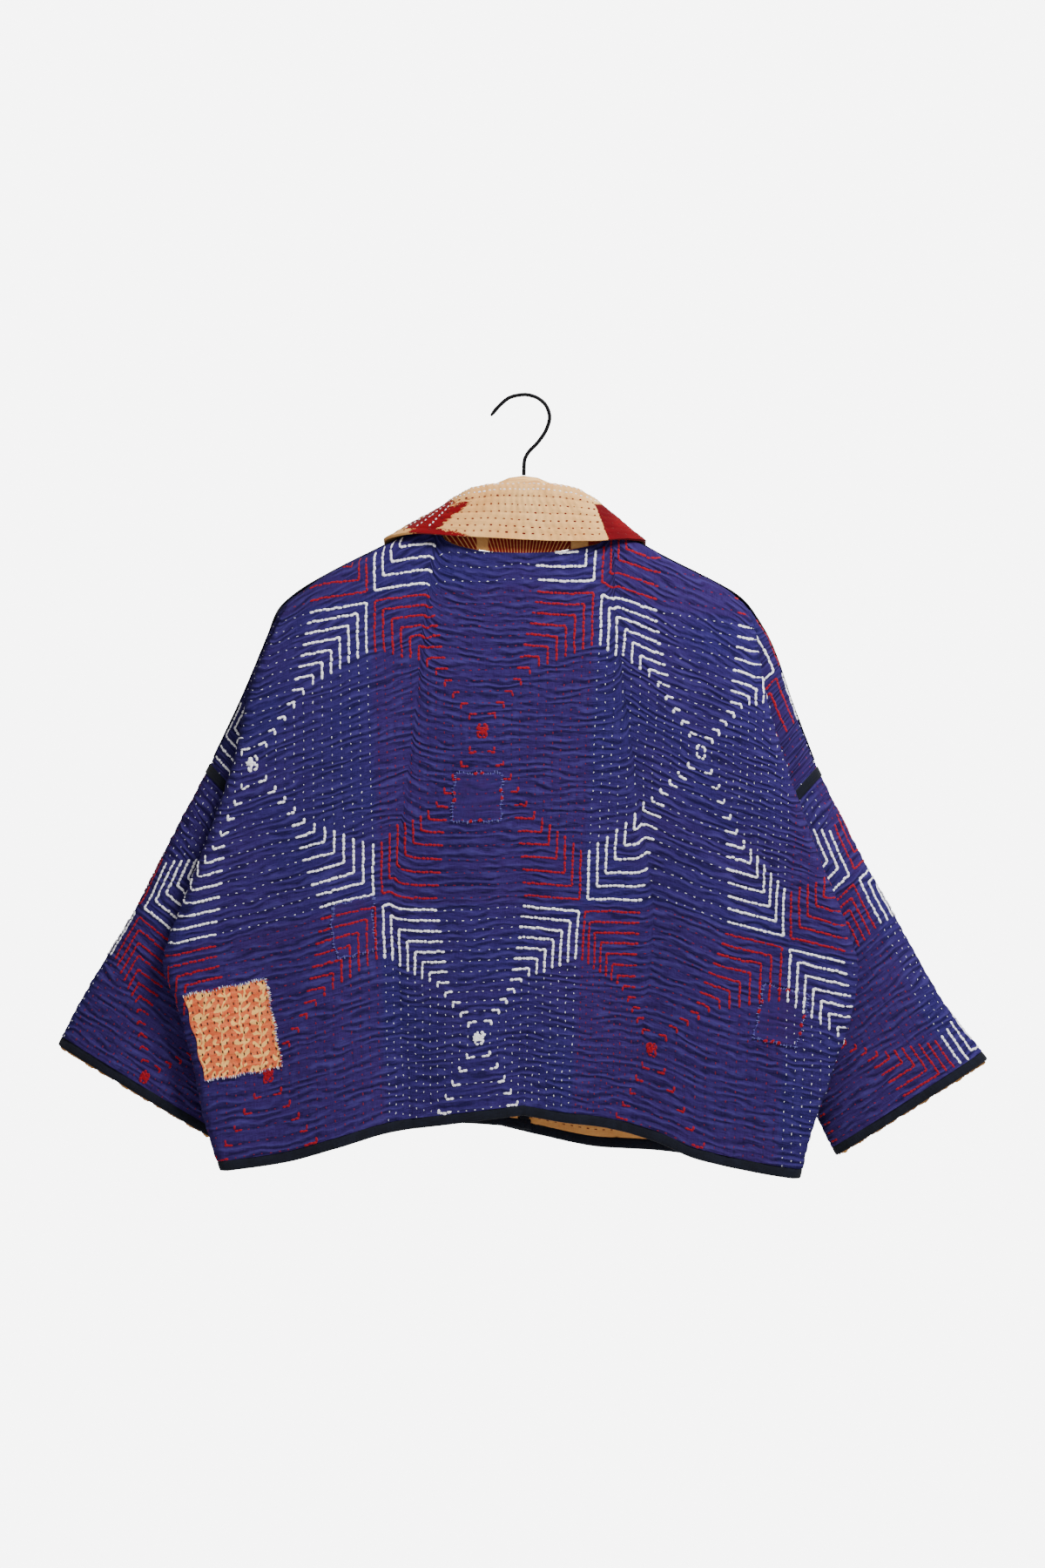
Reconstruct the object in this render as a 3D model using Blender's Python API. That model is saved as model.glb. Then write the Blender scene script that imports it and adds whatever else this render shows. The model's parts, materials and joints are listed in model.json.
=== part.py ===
# A quilted patchwork jacket, seen from its back, on a wooden clothes hanger.
# Millimetres in the text, metres in the scene.  X runs across the back, -Y is
# the side the back faces, +Z is up.  The origin is the underside of the wire
# hook, where a nail or a rail carries it.
import math

import bpy
from mathutils import Vector

MM = 0.001

# Cloth and trim thicknesses
CLOTH = 2.4
BINDING = 3.4
BINDING_WIDE = 10.0
TAPE = 1.2
PATCH = 0.8
SEAM_GAP = 0.3

# Wooden bar and wire hook, and the angle from which an edge is shown sharp
BAR_HALF_THICK = 6.0
BAR_HALF_LONG = 222.0
BAR_DEEP_MIDDLE = 40.0
BAR_DEEP_END = 22.0
BAR_STATIONS = [-BAR_HALF_LONG, -219, -208, -180, -150, -120, -90, -70, -50, -33, -15, 0]
BAR_END = {"long": 14.0, "thinner": 0.45, "lower": 5.0, "shallower": 9.0}
WIRE = 4.0
WIRE_STEPS = 34
WIRE_SIDES = 10
WIRE_TIP = 0.6
SHARP = 50
HOOK_LINE = [(-33.7, -20), (-25.2, -9.9), (-12.1, -0.2), (1.6, 2.0), (12.8, -0.6),
             (23.8, -9.9), (27.3, -21.4), (23.8, -34.2), (15.2, -47.3), (3.6, -60.2),
             (0.9, -67.4), (0.5, -81.7)]
CREST_LINE = [(0, -82), (15, -84), (33, -92), (60, -113), (84, -133)]

# How far the cloth's middle lies from the ridge's centre where it rounds over the bar
RIDGE_ROUND = 9.2
NECK_POINT = 90.0

# Half outlines as (distance from the centre line, height), one set a side.
# ridge: shoulder line; fold: the edge where the body turns in behind itself;
# arm: shoulder line past the bar, down to the armhole; valley: the inner end of
# that turn, down to the underarm; side: side seam; sleeve edges and cuff.
SIDES = {
    "left": dict(
        sign=-1,
        ridge=[(90, -130), (151, -160), (202, -186), (238, -210)],
        fold=[(238, -210), (255, -241), (282, -308), (298, -379), (326, -460), (352, -530),
              (370, -588), (358, -622), (340, -690), (328, -746), (311, -800)],
        arm=[(252, -224), (262, -247), (289, -311), (321, -379)],
        valley=[(246, -218), (240, -300), (226, -400), (204, -509)],
        side=[(204, -509), (204, -560), (225, -650), (255, -730), (288, -797)],
        hem=[(0, -743), (73, -752), (139, -761), (196, -777), (253, -792), (311, -800)],
        front_hem=[(-8, -761), (30, -756), (73, -754), (139, -763), (196, -778),
                   (253, -792), (311, -800)],
        front_edge=(1.0, -8.0),
        front_layer=-2.6,
        sleeve_out=[(321, -379), (356, -444), (400, -531), (457, -626), (481, -672)],
        sleeve_in=[(210, -502.5), (240, -558), (264, -620), (292, -695), (319, -769)],
        collar_edge=[(0, -28, -149), (37, -28, -147), (76, -27, -145), (114, -20, -142.5),
                     (144, 0, -149), (143, 16, -159), (128, 27, -182), (88, 36, -216),
                     (44, 40, -246), (4, 41, -258)],
    ),
    "right": dict(
        sign=1,
        ridge=[(90, -132), (126, -157), (212, -203), (226, -214)],
        fold=[(226, -214), (238, -243), (247, -300), (269, -379), (306, -481), (332, -548),
              (343, -590), (339, -629), (316, -703), (295, -762), (284, -808)],
        arm=[(238, -229), (255, -257), (277, -319), (301, -382)],
        valley=[(233, -222), (226, -300), (211, -400), (190, -508)],
        side=[(190, -508), (190, -560), (208, -650), (232, -730), (262, -802)],
        hem=[(0, -743), (47, -751), (81, -755), (139, -770), (182, -788), (269, -806),
             (284, -808)],
        front_hem=[(-22, -757), (20, -767), (80, -779), (140, -783), (179, -788),
                   (230, -800), (284, -808)],
        front_edge=(1.0, -22.0),
        front_layer=2.6,
        sleeve_out=[(301, -382), (342, -464), (390, -551), (436, -631), (480, -687)],
        sleeve_in=[(196, -501.5), (226, -558), (252, -625), (286, -705), (325, -785)],
        collar_edge=[(0, -28, -149), (40, -28, -150.5), (74, -27, -150.5), (103, -20, -148.5),
                     (126, 0, -150.5), (126, 16, -161), (116, 27, -184), (84, 36, -218),
                     (44, 40, -246), (4, 41, -258)],
    ),
}
COLLAR_TURNS = [0, 0.2, 0.36, 0.44, 0.5, 0.56, 0.64, 0.78, 0.9, 1.0]
COLLAR_ROLL = [(0, -20, -92), (26, -20, -92), (52, -17, -96), (66, -12, -103),
               (77, 0, -110), (75, 12, -118), (67, 20, -134), (45, 28, -163),
               (23, 31, -184), (4, 32, -194)]
ROLL_ROUND = 3.2
COLLAR_MEET = 1.6
COLLAR_CLEAR = (0.9, 2.9)
COLLAR_COLUMNS = [0.0, 0.07, 0.14, 0.21, 0.28, 0.34, 0.39, 0.43, 0.46, 0.48, 0.5,
                  0.52, 0.54, 0.57, 0.61, 0.66, 0.73, 0.81, 0.9, 1.0]

# Neckline as (distance from the centre line, depth, height)
BACK_NECK = [(0, 18, -163), (34, 17.6, -161.6), (64, 15.4, -156.5)]
FRONT_NECK = [(0, 24, -232), (34, 23.5, -226), (64, 20, -202)]
# The last stretch, where it climbs round the bar, with heights below the shoulder
BACK_CLIMB = [(80, 12.5, -20), (87.5, 10.4, -10.5), (89.3, 7.6, -3.6), (90, 0, 0)]
FRONT_CLIMB = [(80, 14.5, -44), (87.5, 11.5, -17), (89.3, 8.0, -4.0), (90, 0, 0)]

# How the body deepens from its shoulder line down: centre and side values
DEEPER = {-1: (20.0, 41.0), 1: (16.0, 41.0)}
DEEPER_OVER = (150.0, 95.0)
FOLD_ROUND = 7.0
FOLD_HIGH = 3.4
FOLDS_ACROSS = 2.1
LAYERS_PART = (150.0, 90.0)
FLAT_POWER = 2.6
INNER_TURN = 0.85
BULGE_BACK = 0.2
ARM_HALF_DEEP = 27.0
CUFF_HALF_DEEP = 24.0
HANG_HIGH = 590.0

# Rows run from the shoulder line (0) to the hem (1); columns from the centre out
ROWS = [0, 0.0047, 0.016, 0.04, 0.08, 0.13, 0.19, 0.26, 0.34, 0.42, 0.50,
        0.58, 0.66, 0.74, 0.82, 0.90]
UNDERARM_ROW = 10
UNDERARM = ROWS[UNDERARM_ROW]
UNFOLDED = {0: 0.0, 1: 0.12, 2: 0.35, 3: 0.75}
HEM_ROW = 1 - BINDING_WIDE / HANG_HIGH
ALL_ROWS = ROWS + [HEM_ROW - 2 * SEAM_GAP / HANG_HIGH, HEM_ROW, 1.0]
CLOTH_END = len(ROWS)
NECK_COLUMNS = [0, 34, 64, 80, 87.5, 89.3, 90]
OUTER_COLUMNS = [0.22, 0.45, 0.68, 0.89, 1.0]
ARM_COLUMNS = [0.05, 0.15, 0.3, 0.5, 0.7, 0.86, 0.95, 1.0]
SLEEVE_RINGS = 13
SLEEVE_CLEAR = 0.7
ARMHOLE_TAPE_FROM = 2.0

# Tape over a shoulder seam: shares of the line, its bends, its lift at the joint
SHOULDER_TAPE = (0.03, 0.985)
SHOULDER_STEPS = 18
SHOULDER_BENDS = (RIDGE_ROUND, 14.0)
SHOULDER_LIFT = 1.3

# name: side, cloth, centre to fold shares, top to hem shares, cells
PATCHES = {
    "patch_coral": ("left", "coral_print", (0.755, 0.995), (0.70, 0.845), 6),
    "patch_centre": ("left", "blue_patch", (0.07, 0.225), (0.39, 0.475), 4),
    "patch_left": ("left", "blue_patch", (0.43, 0.545), (0.61, 0.70), 4),
    "patch_right": ("right", "blue_patch", (0.745, 0.885), (0.695, 0.785), 4),
}

SEAT = (CLOTH + PATCH) / 2 + 2 * SEAM_GAP

# Colour, roughness and metal of each cloth or material
MATERIALS = {
    "indigo_quilt": ((0.055, 0.035, 0.19), 0.9, 0.0),
    "navy_binding": ((0.011, 0.018, 0.045), 0.9, 0.0),
    "tan_print": ((0.70, 0.45, 0.23), 0.9, 0.0),
    "coral_print": ((0.60, 0.22, 0.11), 0.9, 0.0),
    "blue_patch": ((0.05, 0.05, 0.24), 0.9, 0.0),
    "pale_wood": ((0.83, 0.60, 0.36), 0.5, 0.0),
    "black_wire": ((0.02, 0.02, 0.025), 0.4, 0.8),
}


def ease(x):
    x = min(1.0, max(0.0, x))
    return x * x * (3 - 2 * x)


def mix(a, b, t):
    return a + (b - a) * t


def curve(knots, x):
    # A smooth curve through (x, value) knots that never swings past them
    if x <= knots[0][0]:
        return knots[0][1]
    if x >= knots[-1][0]:
        return knots[-1][1]
    slopes = [(b[1] - a[1]) / (b[0] - a[0]) for a, b in zip(knots, knots[1:])]
    tangents = [slopes[0]]
    for s, t in zip(slopes, slopes[1:]):
        tangents.append(0.0 if s * t <= 0 else 2 * s * t / (s + t))
    tangents.append(slopes[-1])
    i = 0
    while x > knots[i + 1][0]:
        i += 1
    wide = knots[i + 1][0] - knots[i][0]
    t = (x - knots[i][0]) / wide
    return ((1 + 2 * t) * (1 - t) ** 2 * knots[i][1] + t * (1 - t) ** 2 * wide * tangents[i]
            + t * t * (3 - 2 * t) * knots[i + 1][1] - t * t * (1 - t) * wide * tangents[i + 1])


def path(points, t):
    # The place at share t of the way along a smooth line through the points
    lengths = [0.0]
    for a, b in zip(points, points[1:]):
        lengths.append(lengths[-1] + math.dist(a, b))
    return tuple(curve([(s / lengths[-1], p[k]) for s, p in zip(lengths, points)], t)
                 for k in range(len(points[0])))


def top_edge(side, face, x):
    # Depth and height of the panel's top edge: neckline, then shoulder line
    if x >= NECK_POINT:
        return 0.0, curve(side["ridge"], x)
    neck, climb = (BACK_NECK, BACK_CLIMB) if face < 0 else (FRONT_NECK, FRONT_CLIMB)
    shoulder = side["ridge"][0][1]
    knots = neck + [(p[0], p[1], shoulder + p[2]) for p in climb]
    return tuple(curve([(p[0], p[k]) for p in knots], x) for k in (1, 2))


def rounding(drop):
    if drop >= RIDGE_ROUND:
        return RIDGE_ROUND
    return math.sqrt(RIDGE_ROUND ** 2 - (RIDGE_ROUND - drop) ** 2)


def soft_folds(side, face, f, v):
    # Two shallow hanging folds on each half and a slow wave towards the hem
    low = ease((v - 0.12) / 0.5)
    shift = 0.25 * v if face < 0 else 0.35 * v
    wave = math.cos(2 * math.pi * (FOLDS_ACROSS * f - shift + 0.06 * side["sign"]))
    inside = ease((f + 0.1) / 0.3) if face < 0 else ease((f - 0.1) / 0.3)
    return FOLD_HIGH * low * wave * ease((1 - f) / 0.25) * inside


def body_place(side, face, f, v):
    # A point of the open part of a panel: f from centre to fold, v from top to hem
    fold_x, fold_z = path(side["fold"], v)
    end_x = fold_x - fold_round(v)
    centre = mix(*side["front_edge"], v) if face > 0 else 0.0
    x = centre + f * (end_x - centre)
    top_centre = side["front_edge"][0] if face > 0 else 0.0
    top_x = top_centre + f * (side["fold"][0][0] - top_centre)
    depth, top_z = top_edge(side, face, max(0.0, top_x))
    hem = side["hem"] if face < 0 else side["front_hem"]
    hem_start = 0.0 if face < 0 else side["front_edge"][1]
    hem_x = hem_start + f * (side["fold"][-1][0] - hem_start)
    hem_z = curve(hem, hem_x)
    straight = mix(side["fold"][0][1], side["fold"][-1][1], v)
    z = mix(top_z, hem_z, v) + f * f * (fold_z - straight)
    drop = v * HANG_HIGH
    start = max(0.0, side["ridge"][0][1] - top_z) if top_x < NECK_POINT else 0.0
    spread = ease(f / 0.9)
    deeper = mix(*DEEPER[face], spread) * (1 - math.exp(-drop / mix(*DEEPER_OVER, spread)))
    y = depth + rounding(start + drop) - rounding(start) + deeper
    y += soft_folds(side, face, f, v)
    if face > 0:
        y += side["front_layer"] * ease((LAYERS_PART[0] - x) / LAYERS_PART[1])
    return x, y, z


def fold_round(v):
    return FOLD_ROUND * ease(v / 0.13)


def arch(q):
    # Half of a flattened tube's section, from its inner edge (0) to its outer (1)
    power = 2.0 if q < 0.5 else FLAT_POWER
    return (1 - abs(2 * q - 1) ** power) ** (1 / power)


def turned_part(side, face, v, unfolded):
    # From the fold edge back in to the valley or side seam, and out to the arm line
    fold_x, fold_z = path(side["fold"], v)
    start_x, outer, start_z = body_place(side, face, 1.0, v)
    turn = fold_round(v)
    back_in = outer - 2 * turn
    above = v <= UNDERARM
    if above:
        low_x, low_z = path(side["valley"], v / UNDERARM)
        reach = ease(v / UNDERARM)
        half_deep = rounding(v * HANG_HIGH) + (ARM_HALF_DEEP - RIDGE_ROUND) * reach
        inner = INNER_TURN * half_deep * (1 - (v / UNDERARM) ** 3)
    else:
        low_x, low_z = path(side["side"], (v - UNDERARM) / (1 - UNDERARM))
        half_deep = inner = 0.0
    places = []
    for angle in (45, 90, 135, 180):
        a = math.radians(angle)
        places.append((start_x + turn * math.sin(a), outer - turn + turn * math.cos(a),
                       fold_z))
    radius = (back_in - inner) / 2
    run = min(radius, 0.5 * (start_x - low_x))
    for share in (1 / 3, 2 / 3):
        places.append((mix(start_x, low_x + run, share), back_in, mix(fold_z, low_z, share)))
    for angle in (0, 45, 90, 135, 180):
        a = math.radians(angle)
        bulge = run * math.cos(a) ** 2 * (1.0 if angle <= 90 else BULGE_BACK)
        places.append((low_x + bulge, inner + radius + radius * math.cos(a), low_z))
    if above:
        arm_x, arm_z = path(side["arm"], v / UNDERARM)
        for q in ARM_COLUMNS:
            base = inner if q < 0.5 else 0.0
            y = base + (half_deep - base) * arch(q) ** (1 + 3 * base / ARM_HALF_DEEP)
            places.append((mix(low_x, arm_x, q), y, mix(low_z, arm_z, q)))
    if unfolded < 1.0:
        first = (start_x, outer, start_z)
        last = places[-1]
        count = len(places)
        for i, p in enumerate(places):
            t = (i + 1) / count
            level = (mix(first[0], last[0], t), mix(outer, 0, t ** 3),
                     mix(first[2], last[2], t))
            places[i] = tuple(mix(a, b, unfolded) for a, b in zip(level, p))
    return places


def half_grid(side, face, columns):
    # One half of a panel as {(row, column): point}, columns counted outwards
    grid = {}
    for r, v in enumerate(ALL_ROWS):
        places = [body_place(side, face, f, v) for f in columns]
        places += turned_part(side, face, v, UNFOLDED.get(r, 1.0))
        for c, (x, y, z) in enumerate(places):
            grid[r, c] = Vector((side["sign"] * x, face * y, z))
    return grid


def panel_columns(side, centre=0.0):
    # Shares from the centre (or front edge) to the fold that meet the neck's columns
    wide = side["fold"][0][0] - centre
    inner = [(x - centre) / wide for x in NECK_COLUMNS]
    return inner + [mix(inner[-1], 1.0, t) for t in OUTER_COLUMNS]


def cells_of(grid, face, sign):
    # Four-cornered faces of a grid, wound so that they face out of the garment
    cells = []
    for r, c in grid:
        ring = [(r, c), (r + 1, c), (r + 1, c + 1), (r, c + 1)]
        if all(key in grid for key in ring):
            if sign * face > 0:
                ring.reverse()
            cells.append(ring)
    return cells


def facing(points, cells):
    normals = {key: Vector() for key in points}
    for ring in cells:
        corners = [points[key] for key in ring]
        across = (corners[2] - corners[0]).cross(corners[3] - corners[1])
        for key in ring:
            normals[key] += across
    return {key: n.normalized() for key, n in normals.items()}


def material(name):
    made = bpy.data.materials.get(name)
    if made is None:
        made = bpy.data.materials.new(name)
        made.use_nodes = True
        shader = made.node_tree.nodes["Principled BSDF"]
        colour, rough, metal = MATERIALS[name]
        shader.inputs["Base Color"].default_value = (*colour, 1)
        shader.inputs["Roughness"].default_value = rough
        shader.inputs["Metallic"].default_value = metal
    return made


def add_object(name, verts, faces, slot):
    mesh = bpy.data.meshes.new(name)
    mesh.from_pydata([tuple(v * MM for v in p) for p in verts], [], faces)
    mesh.materials.append(material(slot))
    mesh.shade_smooth()
    mesh.set_sharp_from_angle(angle=math.radians(SHARP))
    made = bpy.data.objects.new(name, mesh)
    bpy.context.collection.objects.link(made)
    return made


def wall(name, points, cells, thick, slot, lift=0.0, face=0, normals=None):
    # A closed wall about the middle surface given by its cells; where face is
    # given, no point comes nearer to the seam plane y = 0 than half the seam gap
    normals = normals or facing(points, cells)
    used = sorted({key for ring in cells for key in ring}, key=str)
    index = {key: i for i, key in enumerate(used)}
    count = len(used)
    verts = []
    for half in (0.5, -0.5):
        for key in used:
            p = points[key] + normals[key] * (lift + half * thick)
            if face:
                p.y = face * max(SEAM_GAP / 2, face * p.y)
            verts.append(p)
    faces = []
    edges = {}
    for ring in cells:
        p = [points[key] for key in ring]
        ids = [index[key] for key in ring]
        if (p[0] - p[2]).length > (p[1] - p[3]).length:
            ids = ids[1:] + ids[:1]
        for three in ((ids[0], ids[1], ids[2]), (ids[0], ids[2], ids[3])):
            faces.append(three)
            faces.append([i + count for i in reversed(three)])
        for a, b in zip(ids, ids[1:] + ids[:1]):
            edges[a, b] = True
    for a, b in edges:
        if (b, a) not in edges:
            faces.append([b, a, a + count, b + count])
    return add_object(name, verts, faces, slot)


def between(cells, low, high, place=0):
    # The cells whose rows (place 0) or columns (place 1) lie from low to high
    return [ring for ring in cells
            if low <= min(key[place] for key in ring) and max(key[place] for key in ring) <= high]


def make_back():
    grid = {}
    for side in SIDES.values():
        half = half_grid(side, -1, panel_columns(side))
        grid.update({(r, side["sign"] * c): p for (r, c), p in half.items()})
    cells = cells_of(grid, -1, 1)
    normals = facing(grid, cells)
    wall("back", grid, between(cells, 0, CLOTH_END), CLOTH, "indigo_quilt", face=-1,
         normals=normals)
    wall("hem_binding_back", grid, between(cells, CLOTH_END + 1, CLOTH_END + 2), BINDING,
         "navy_binding", face=-1, normals=normals)
    return grid


def make_front(label):
    side = SIDES[label]
    edge = BINDING_WIDE / side["fold"][0][0]
    start = edge + SEAM_GAP / side["fold"][0][0]
    columns = panel_columns(side, side["front_edge"][0])[1:]
    grid = half_grid(side, 1, [0.0, edge, start] + columns)
    cells = cells_of(grid, 1, side["sign"])
    normals = facing(grid, cells)
    above_hem = between(cells, 0, CLOTH_END)
    last = max(c for r, c in grid)
    wall("front_" + label, grid, between(above_hem, 2, last, place=1), CLOTH, "indigo_quilt",
         face=1, normals=normals)
    wall("front_edge_binding_" + label, grid, between(above_hem, 0, 1, place=1), BINDING,
         "navy_binding", normals=normals)
    wall("hem_binding_front_" + label, grid, between(cells, CLOTH_END + 1, CLOTH_END + 2),
         BINDING, "navy_binding", face=1, normals=normals)


def sleeve_ring(side, t):
    # A closed ring of the sleeve at share t of its length
    out_x, out_z = path(side["sleeve_out"], t)
    in_x, in_z = path(side["sleeve_in"], t)
    half_deep = mix(ARM_HALF_DEEP, CUFF_HALF_DEEP, t)
    shares = [0.0] + ARM_COLUMNS
    ring = []
    for q in shares:
        ring.append((mix(in_x, out_x, q), -half_deep * arch(q), mix(in_z, out_z, q)))
    for q in reversed(shares[1:-1]):
        ring.append((mix(in_x, out_x, q), half_deep * arch(q), mix(in_z, out_z, q)))
    return [Vector((side["sign"] * x, y, z)) for x, y, z in ring]


def tube_cells(rings, around, sign):
    cells = []
    for r in range(rings - 1):
        for c in range(around):
            d = (c + 1) % around
            ring = [(r, c), (r + 1, c), (r + 1, d), (r, d)]
            if sign < 0:
                ring.reverse()
            cells.append(ring)
    return cells


def make_sleeve(label):
    side = SIDES[label]
    long = math.dist(side["sleeve_out"][0], side["sleeve_out"][-1])
    start = SLEEVE_CLEAR / long
    cuff = 1 - BINDING_WIDE / long
    shares = [mix(start, cuff - SEAM_GAP / long, i / (SLEEVE_RINGS - 1))
              for i in range(SLEEVE_RINGS)] + [cuff, 1.0]
    rings = [sleeve_ring(side, t) for t in shares]
    points = {(r, c): p for r, ring in enumerate(rings) for c, p in enumerate(ring)}
    cells = tube_cells(len(rings), len(rings[0]), side["sign"])
    normals = facing(points, cells)
    wall("sleeve_" + label, points, between(cells, 0, SLEEVE_RINGS - 1), CLOTH,
         "indigo_quilt", normals=normals)
    wall("cuff_binding_" + label, points, between(cells, SLEEVE_RINGS, SLEEVE_RINGS + 1),
         BINDING, "navy_binding", normals=normals)
    ends = (ARMHOLE_TAPE_FROM, ARMHOLE_TAPE_FROM + BINDING_WIDE)
    rings = [sleeve_ring(side, start + a / long) for a in ends]
    points = {(r, c): p for r, ring in enumerate(rings) for c, p in enumerate(ring)}
    wall("armhole_binding_" + label, points, tube_cells(2, len(rings[0]), side["sign"]),
         TAPE, "navy_binding", lift=(CLOTH + TAPE) / 2 + 2 * SEAM_GAP)


def make_shoulder_binding(label):
    # A tape bent over the shoulder seam, from the collar to the armhole
    side = SIDES[label]
    line = side["ridge"] + side["arm"]
    points = {}
    for r in range(SHOULDER_STEPS + 1):
        t = mix(*SHOULDER_TAPE, r / SHOULDER_STEPS)
        x, z = path(line, t)
        ahead = path(line, min(1.0, t + 0.01))
        behind = path(line, t - 0.01)
        along = Vector((ahead[0] - behind[0], 0, ahead[1] - behind[1])).normalized()
        up = Vector((-along.z, 0, along.x))
        bend = mix(*SHOULDER_BENDS, ease((t - 0.4) / 0.5))
        rise = (CLOTH + TAPE) / 2 + 2 * SEAM_GAP
        rise += SHOULDER_LIFT * ease(1 - abs(t - 0.47) / 0.16)
        for c in range(5):
            a = (c - 2) * BINDING_WIDE / 4 / (bend + rise)
            p = Vector((x, 0, z)) - up * bend
            p += (up * math.cos(a) + Vector((0, math.sin(a), 0))) * (bend + rise)
            points[r, c] = Vector((side["sign"] * p.x, p.y, p.z))
    cells = cells_of(points, 1, side["sign"])
    wall("shoulder_binding_" + label, points, cells, TAPE, "navy_binding")


def collar_foot(side, t):
    # Inside the neckline's straight stretches, further in where they climb
    face = -1 if t <= 0.5 else 1
    x = max(COLLAR_MEET if face > 0 else 0.0, NECK_POINT * math.sin(math.pi * t))
    low, high = next((a, b) for a, b in zip(NECK_COLUMNS, NECK_COLUMNS[1:])
                     if x <= b + 0.0001)
    share = (x - low) / (high - low)
    near, far = top_edge(side, face, low), top_edge(side, face, high)
    along = Vector((high - low, far[1] - near[1])).normalized()
    clear = mix(*COLLAR_CLEAR, along.y)
    return Vector((x - along.y * clear, face * mix(near[0], far[0], share),
                   mix(near[1], far[1], share) + along.x * clear))


def collar_section(label, t):
    # Foot, stand, roll and fall at share t from centre back to centre front
    side = SIDES[label]
    roll, edge = (
        Vector([curve([(s, p[k]) for s, p in zip(COLLAR_TURNS, line)], t) for k in range(3)])
        for line in (COLLAR_ROLL, side["collar_edge"]))
    foot = collar_foot(side, t)
    out = edge - foot
    out.z = 0
    out.normalize()
    inside = roll - out * ROLL_ROUND + Vector((0, 0, -ROLL_ROUND))
    outside = roll + out * ROLL_ROUND + Vector((0, 0, -ROLL_ROUND))
    return [foot, foot.lerp(inside, 0.5), inside, roll, outside, outside.lerp(edge, 0.5), edge]


def make_collar():
    points = {}
    for label, side in SIDES.items():
        for i, t in enumerate(COLLAR_COLUMNS):
            for r, p in enumerate(collar_section(label, t)):
                points[r, side["sign"] * i] = Vector((side["sign"] * p.x, p.y, p.z))
    cells = cells_of(points, 1, 1)
    wall("collar", points, cells, CLOTH, "tan_print")


def on_panel(grid, columns, side, f, v):
    # Middle point of the back panel at share f out from the centre and v down
    r = max(i for i, value in enumerate(ALL_ROWS[:-1]) if value <= v)
    c = max(i for i, value in enumerate(columns[:-1]) if value <= f)
    s = (v - ALL_ROWS[r]) / (ALL_ROWS[r + 1] - ALL_ROWS[r])
    t = (f - columns[c]) / (columns[c + 1] - columns[c])
    sign = side["sign"]
    upper = grid[r, sign * c].lerp(grid[r, sign * (c + 1)], t)
    lower = grid[r + 1, sign * c].lerp(grid[r + 1, sign * (c + 1)], t)
    return upper.lerp(lower, s)


def make_patches(grid):
    for name, (label, slot, across, down, count) in PATCHES.items():
        side = SIDES[label]
        columns = panel_columns(side)
        points = {}
        for r in range(count + 1):
            for c in range(count + 1):
                f = mix(*across, c / count)
                v = mix(*down, r / count)
                points[r, side["sign"] * c] = on_panel(grid, columns, side, f, v)
        cells = cells_of(points, -1, 1)
        wall(name, points, cells, PATCH, slot, lift=SEAT)


def bar_top(x):
    side = SIDES["left"] if x < 0 else SIDES["right"]
    under = CLOTH / 2 + 6 * SEAM_GAP
    knots = CREST_LINE + [(p[0], p[1] - under) for p in side["ridge"][1:]]
    return curve(knots, abs(x))


def make_hanger():
    # The bar: sections across it, round on top, from one end to the other
    stations = BAR_STATIONS + [-x for x in reversed(BAR_STATIONS[:-1])]
    rings = []
    for x in stations:
        end = 1 - ease((BAR_HALF_LONG - abs(x)) / BAR_END["long"])
        half = BAR_HALF_THICK * (1 - BAR_END["thinner"] * end)
        top = bar_top(x) - BAR_END["lower"] * end
        deep = mix(BAR_DEEP_MIDDLE, BAR_DEEP_END, abs(x) / BAR_HALF_LONG)
        deep -= BAR_END["shallower"] * end
        ring = []
        for k in range(9):
            a = math.pi * k / 8
            ring.append((x, half * math.cos(a), top - half + half * math.sin(a)))
        for k in range(5):
            a = math.pi * k / 4
            ring.append((x, -half * math.cos(a), top - deep + half / 2 - half / 2 * math.sin(a)))
        rings.append(ring)
    add_loft("hanger_bar", rings, "pale_wood")
    rings = []
    for i in range(WIRE_STEPS + 1):
        t = i / WIRE_STEPS
        x, z = path(HOOK_LINE, t)
        ahead = path(HOOK_LINE, min(1, t + 0.01))
        behind = path(HOOK_LINE, max(0, t - 0.01))
        along = Vector((ahead[0] - behind[0], 0, ahead[1] - behind[1])).normalized()
        up = Vector((along.z, 0, -along.x))
        tip = WIRE_TIP if i == 0 else 1.0
        ring = []
        for k in range(WIRE_SIDES):
            a = 2 * math.pi * k / WIRE_SIDES
            offset = (up * math.cos(a) + Vector((0, 1, 0)) * math.sin(a)) * WIRE / 2 * tip
            ring.append((x + offset.x, offset.y, z + offset.z))
        rings.append(ring)
    add_loft("hanger_hook", rings, "black_wire")


def add_loft(name, rings, slot):
    # A closed body through rings of equal count, with flat ends
    around = len(rings[0])
    verts = [p for ring in rings for p in ring]
    faces = [list(range(around))]
    for r in range(len(rings) - 1):
        for k in range(around):
            n = (k + 1) % around
            faces.append([r * around + k, (r + 1) * around + k, (r + 1) * around + n,
                          r * around + n])
    last = (len(rings) - 1) * around
    faces.append([last + k for k in reversed(range(around))])
    made = add_object(name, [Vector(v) for v in verts], faces, slot)
    volume = sum(Vector(made.data.vertices[t.vertices[0]].co).dot(
        Vector(made.data.vertices[t.vertices[1]].co).cross(
            Vector(made.data.vertices[t.vertices[2]].co)))
        for t in triangles(made.data))
    if volume < 0:
        made.data.flip_normals()


def triangles(mesh):
    mesh.calc_loop_triangles()
    return mesh.loop_triangles


def main():
    for old in list(bpy.data.objects):
        bpy.data.objects.remove(old)
    back = make_back()
    make_patches(back)
    for label in SIDES:
        make_front(label)
        make_sleeve(label)
        make_shoulder_binding(label)
    make_collar()
    make_hanger()


main()
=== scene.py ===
import json
import math

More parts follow.
